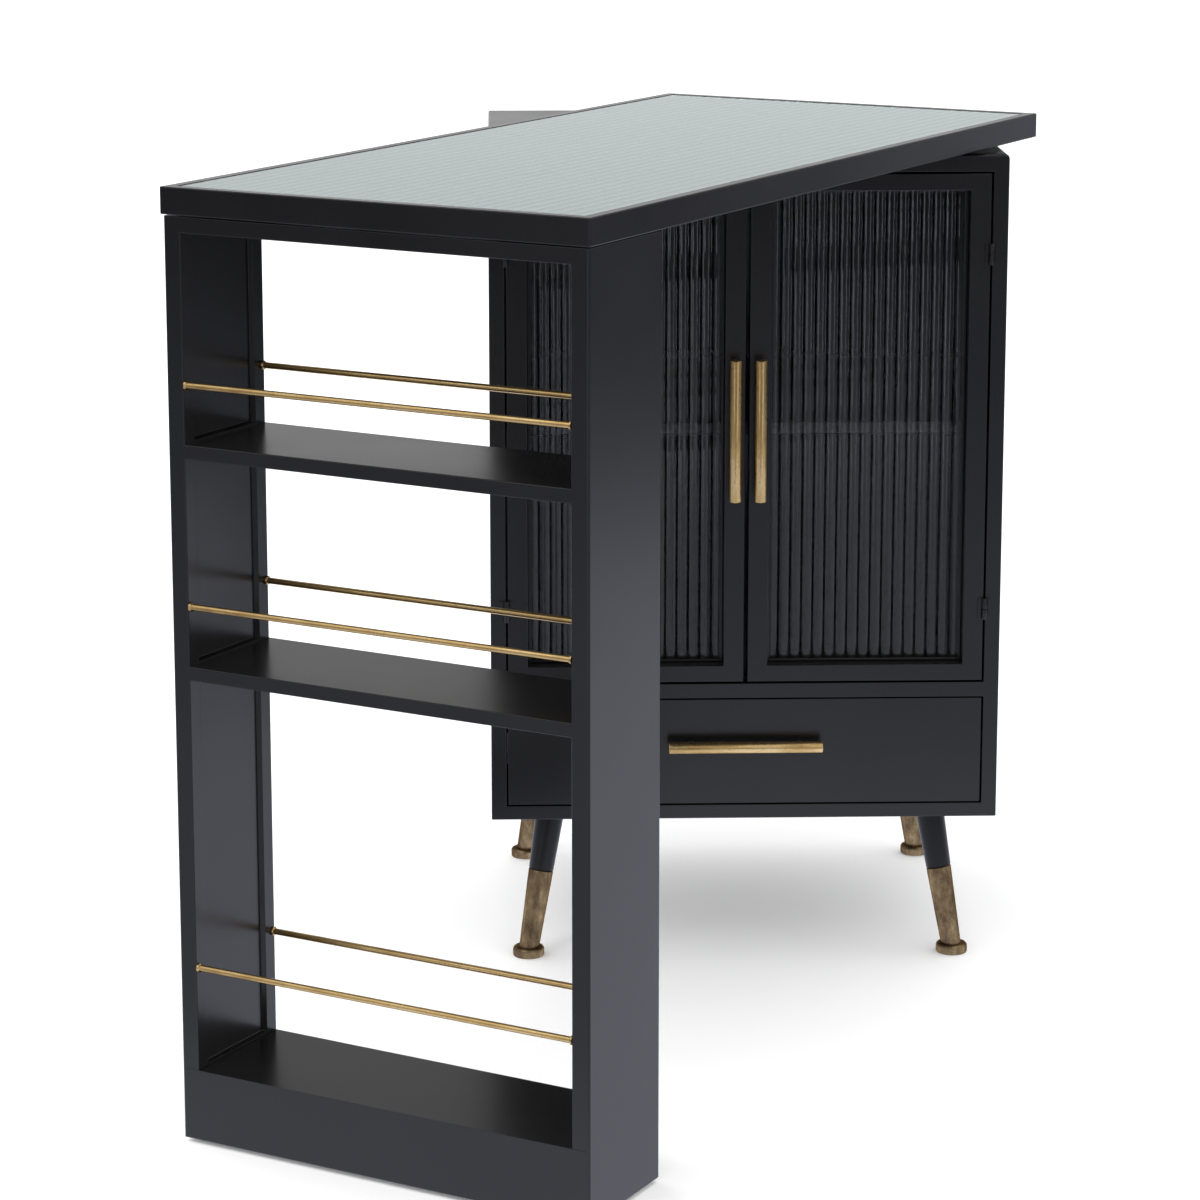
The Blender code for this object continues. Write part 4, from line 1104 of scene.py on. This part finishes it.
def make_floor():
    """A wide pale floor. In reflections it is a pool of light that fades away from the object."""
    bm = bmesh.new()
    bmesh.ops.create_grid(bm, x_segments=1, y_segments=1, size=FLOOR_HALF)
    mesh = bpy.data.meshes.new("studio_floor")
    bm.to_mesh(mesh)
    bm.free()
    floor = new_object("studio_floor", mesh)
    shader = Shader("studio_floor", Base_Color=(0.90, 0.90, 0.90, 1.0), Roughness=0.9,
                    Specular_IOR_Level=0.1, Emission_Color=(1.0, 1.0, 1.0, 1.0), Emission_Strength=0.12)
    tree = shader.tree
    away = shader.add("VectorMath", {0: shader.place}, operation="LENGTH").outputs["Value"]
    near = shader.spread(away, 0.0, 1.0, (0.0, FLOOR_POOL))
    turn, _ = bearing(tree, shader.place)
    levels = (FLOOR_FRONT, FLOOR_SIDE, FLOOR_STRIP, FLOOR_BACK)
    pools = [[(r / FLOOR_POOL, level) for r, level in stops] for stops in levels]
    front, side, strip, back = [falloff(tree, near, stops) for stops in pools]
    front = blended(tree, share_round(tree, turn, STRIP_SPANS), front, strip)
    level = blended(tree, share_round(tree, turn, FLOOR_SIDE_SPAN), front, side)
    level = blended(tree, share_round(tree, turn, BACKDROP_SPAN), level, back)
    level = shader.mix(1.0, level, FLOOR_TINT, "MULTIPLY")
    glow = shader.add("Emission", {"Color": level}).outputs[0]
    shader.finish(lit_for_gloss(tree, shader.surface.outputs[0], glow))
    mesh.materials.append(shader.material)


def make_world():
    """White from all round. In reflections: a backdrop behind, a dim room in front, two strips."""
    world = bpy.data.worlds.new("studio")
    scene.world = world
    world.use_nodes = True
    tree = world.node_tree
    plain = tree.nodes["Background"]
    plain.inputs["Color"].default_value = (1.0, 1.0, 1.0, 1.0)
    plain.inputs["Strength"].default_value = WORLD_STRENGTH
    turn, axes = bearing(tree, add_node(tree, "TexCoord").outputs["Generated"])
    levels = (ROOM_LEVELS, STRIP_LEVELS, BACKDROP_LEVELS)
    front, strip, back = [falloff(tree, axes["Z"], stops) for stops in levels]
    level = blended(tree, share_round(tree, turn, STRIP_SPANS), front, strip)
    level = blended(tree, share_round(tree, turn, BACKDROP_SPAN), level, back)
    room = add_node(tree, "Background", {"Color": level}).outputs[0]
    surface = lit_for_gloss(tree, plain.outputs[0], room)
    tree.links.new(surface, tree.nodes["World Output"].inputs["Surface"])


make_floor()
make_world()
lamp = bpy.data.lights.new("key", "AREA")
lamp.shape = "DISK"
lamp.size = 1.6
lamp.energy = 30.0
key = new_object("key", lamp)
key.matrix_world = aimed(LAMP_TARGET, LAMP_PLACE)
key.location = LAMP_PLACE

scene.view_settings.view_transform = "Standard"
camera = bpy.data.cameras.new("camera")
camera.lens = CAMERA_LENS
camera.shift_y = CAMERA_SHIFT
camera.clip_end = 200.0
eye = new_object("camera", camera)
eye.location = CAMERA_PLACE
eye.rotation_euler = (math.radians(90 - CAMERA_DOWN), 0.0, math.radians(-CAMERA_RIGHT))
scene.camera = eye
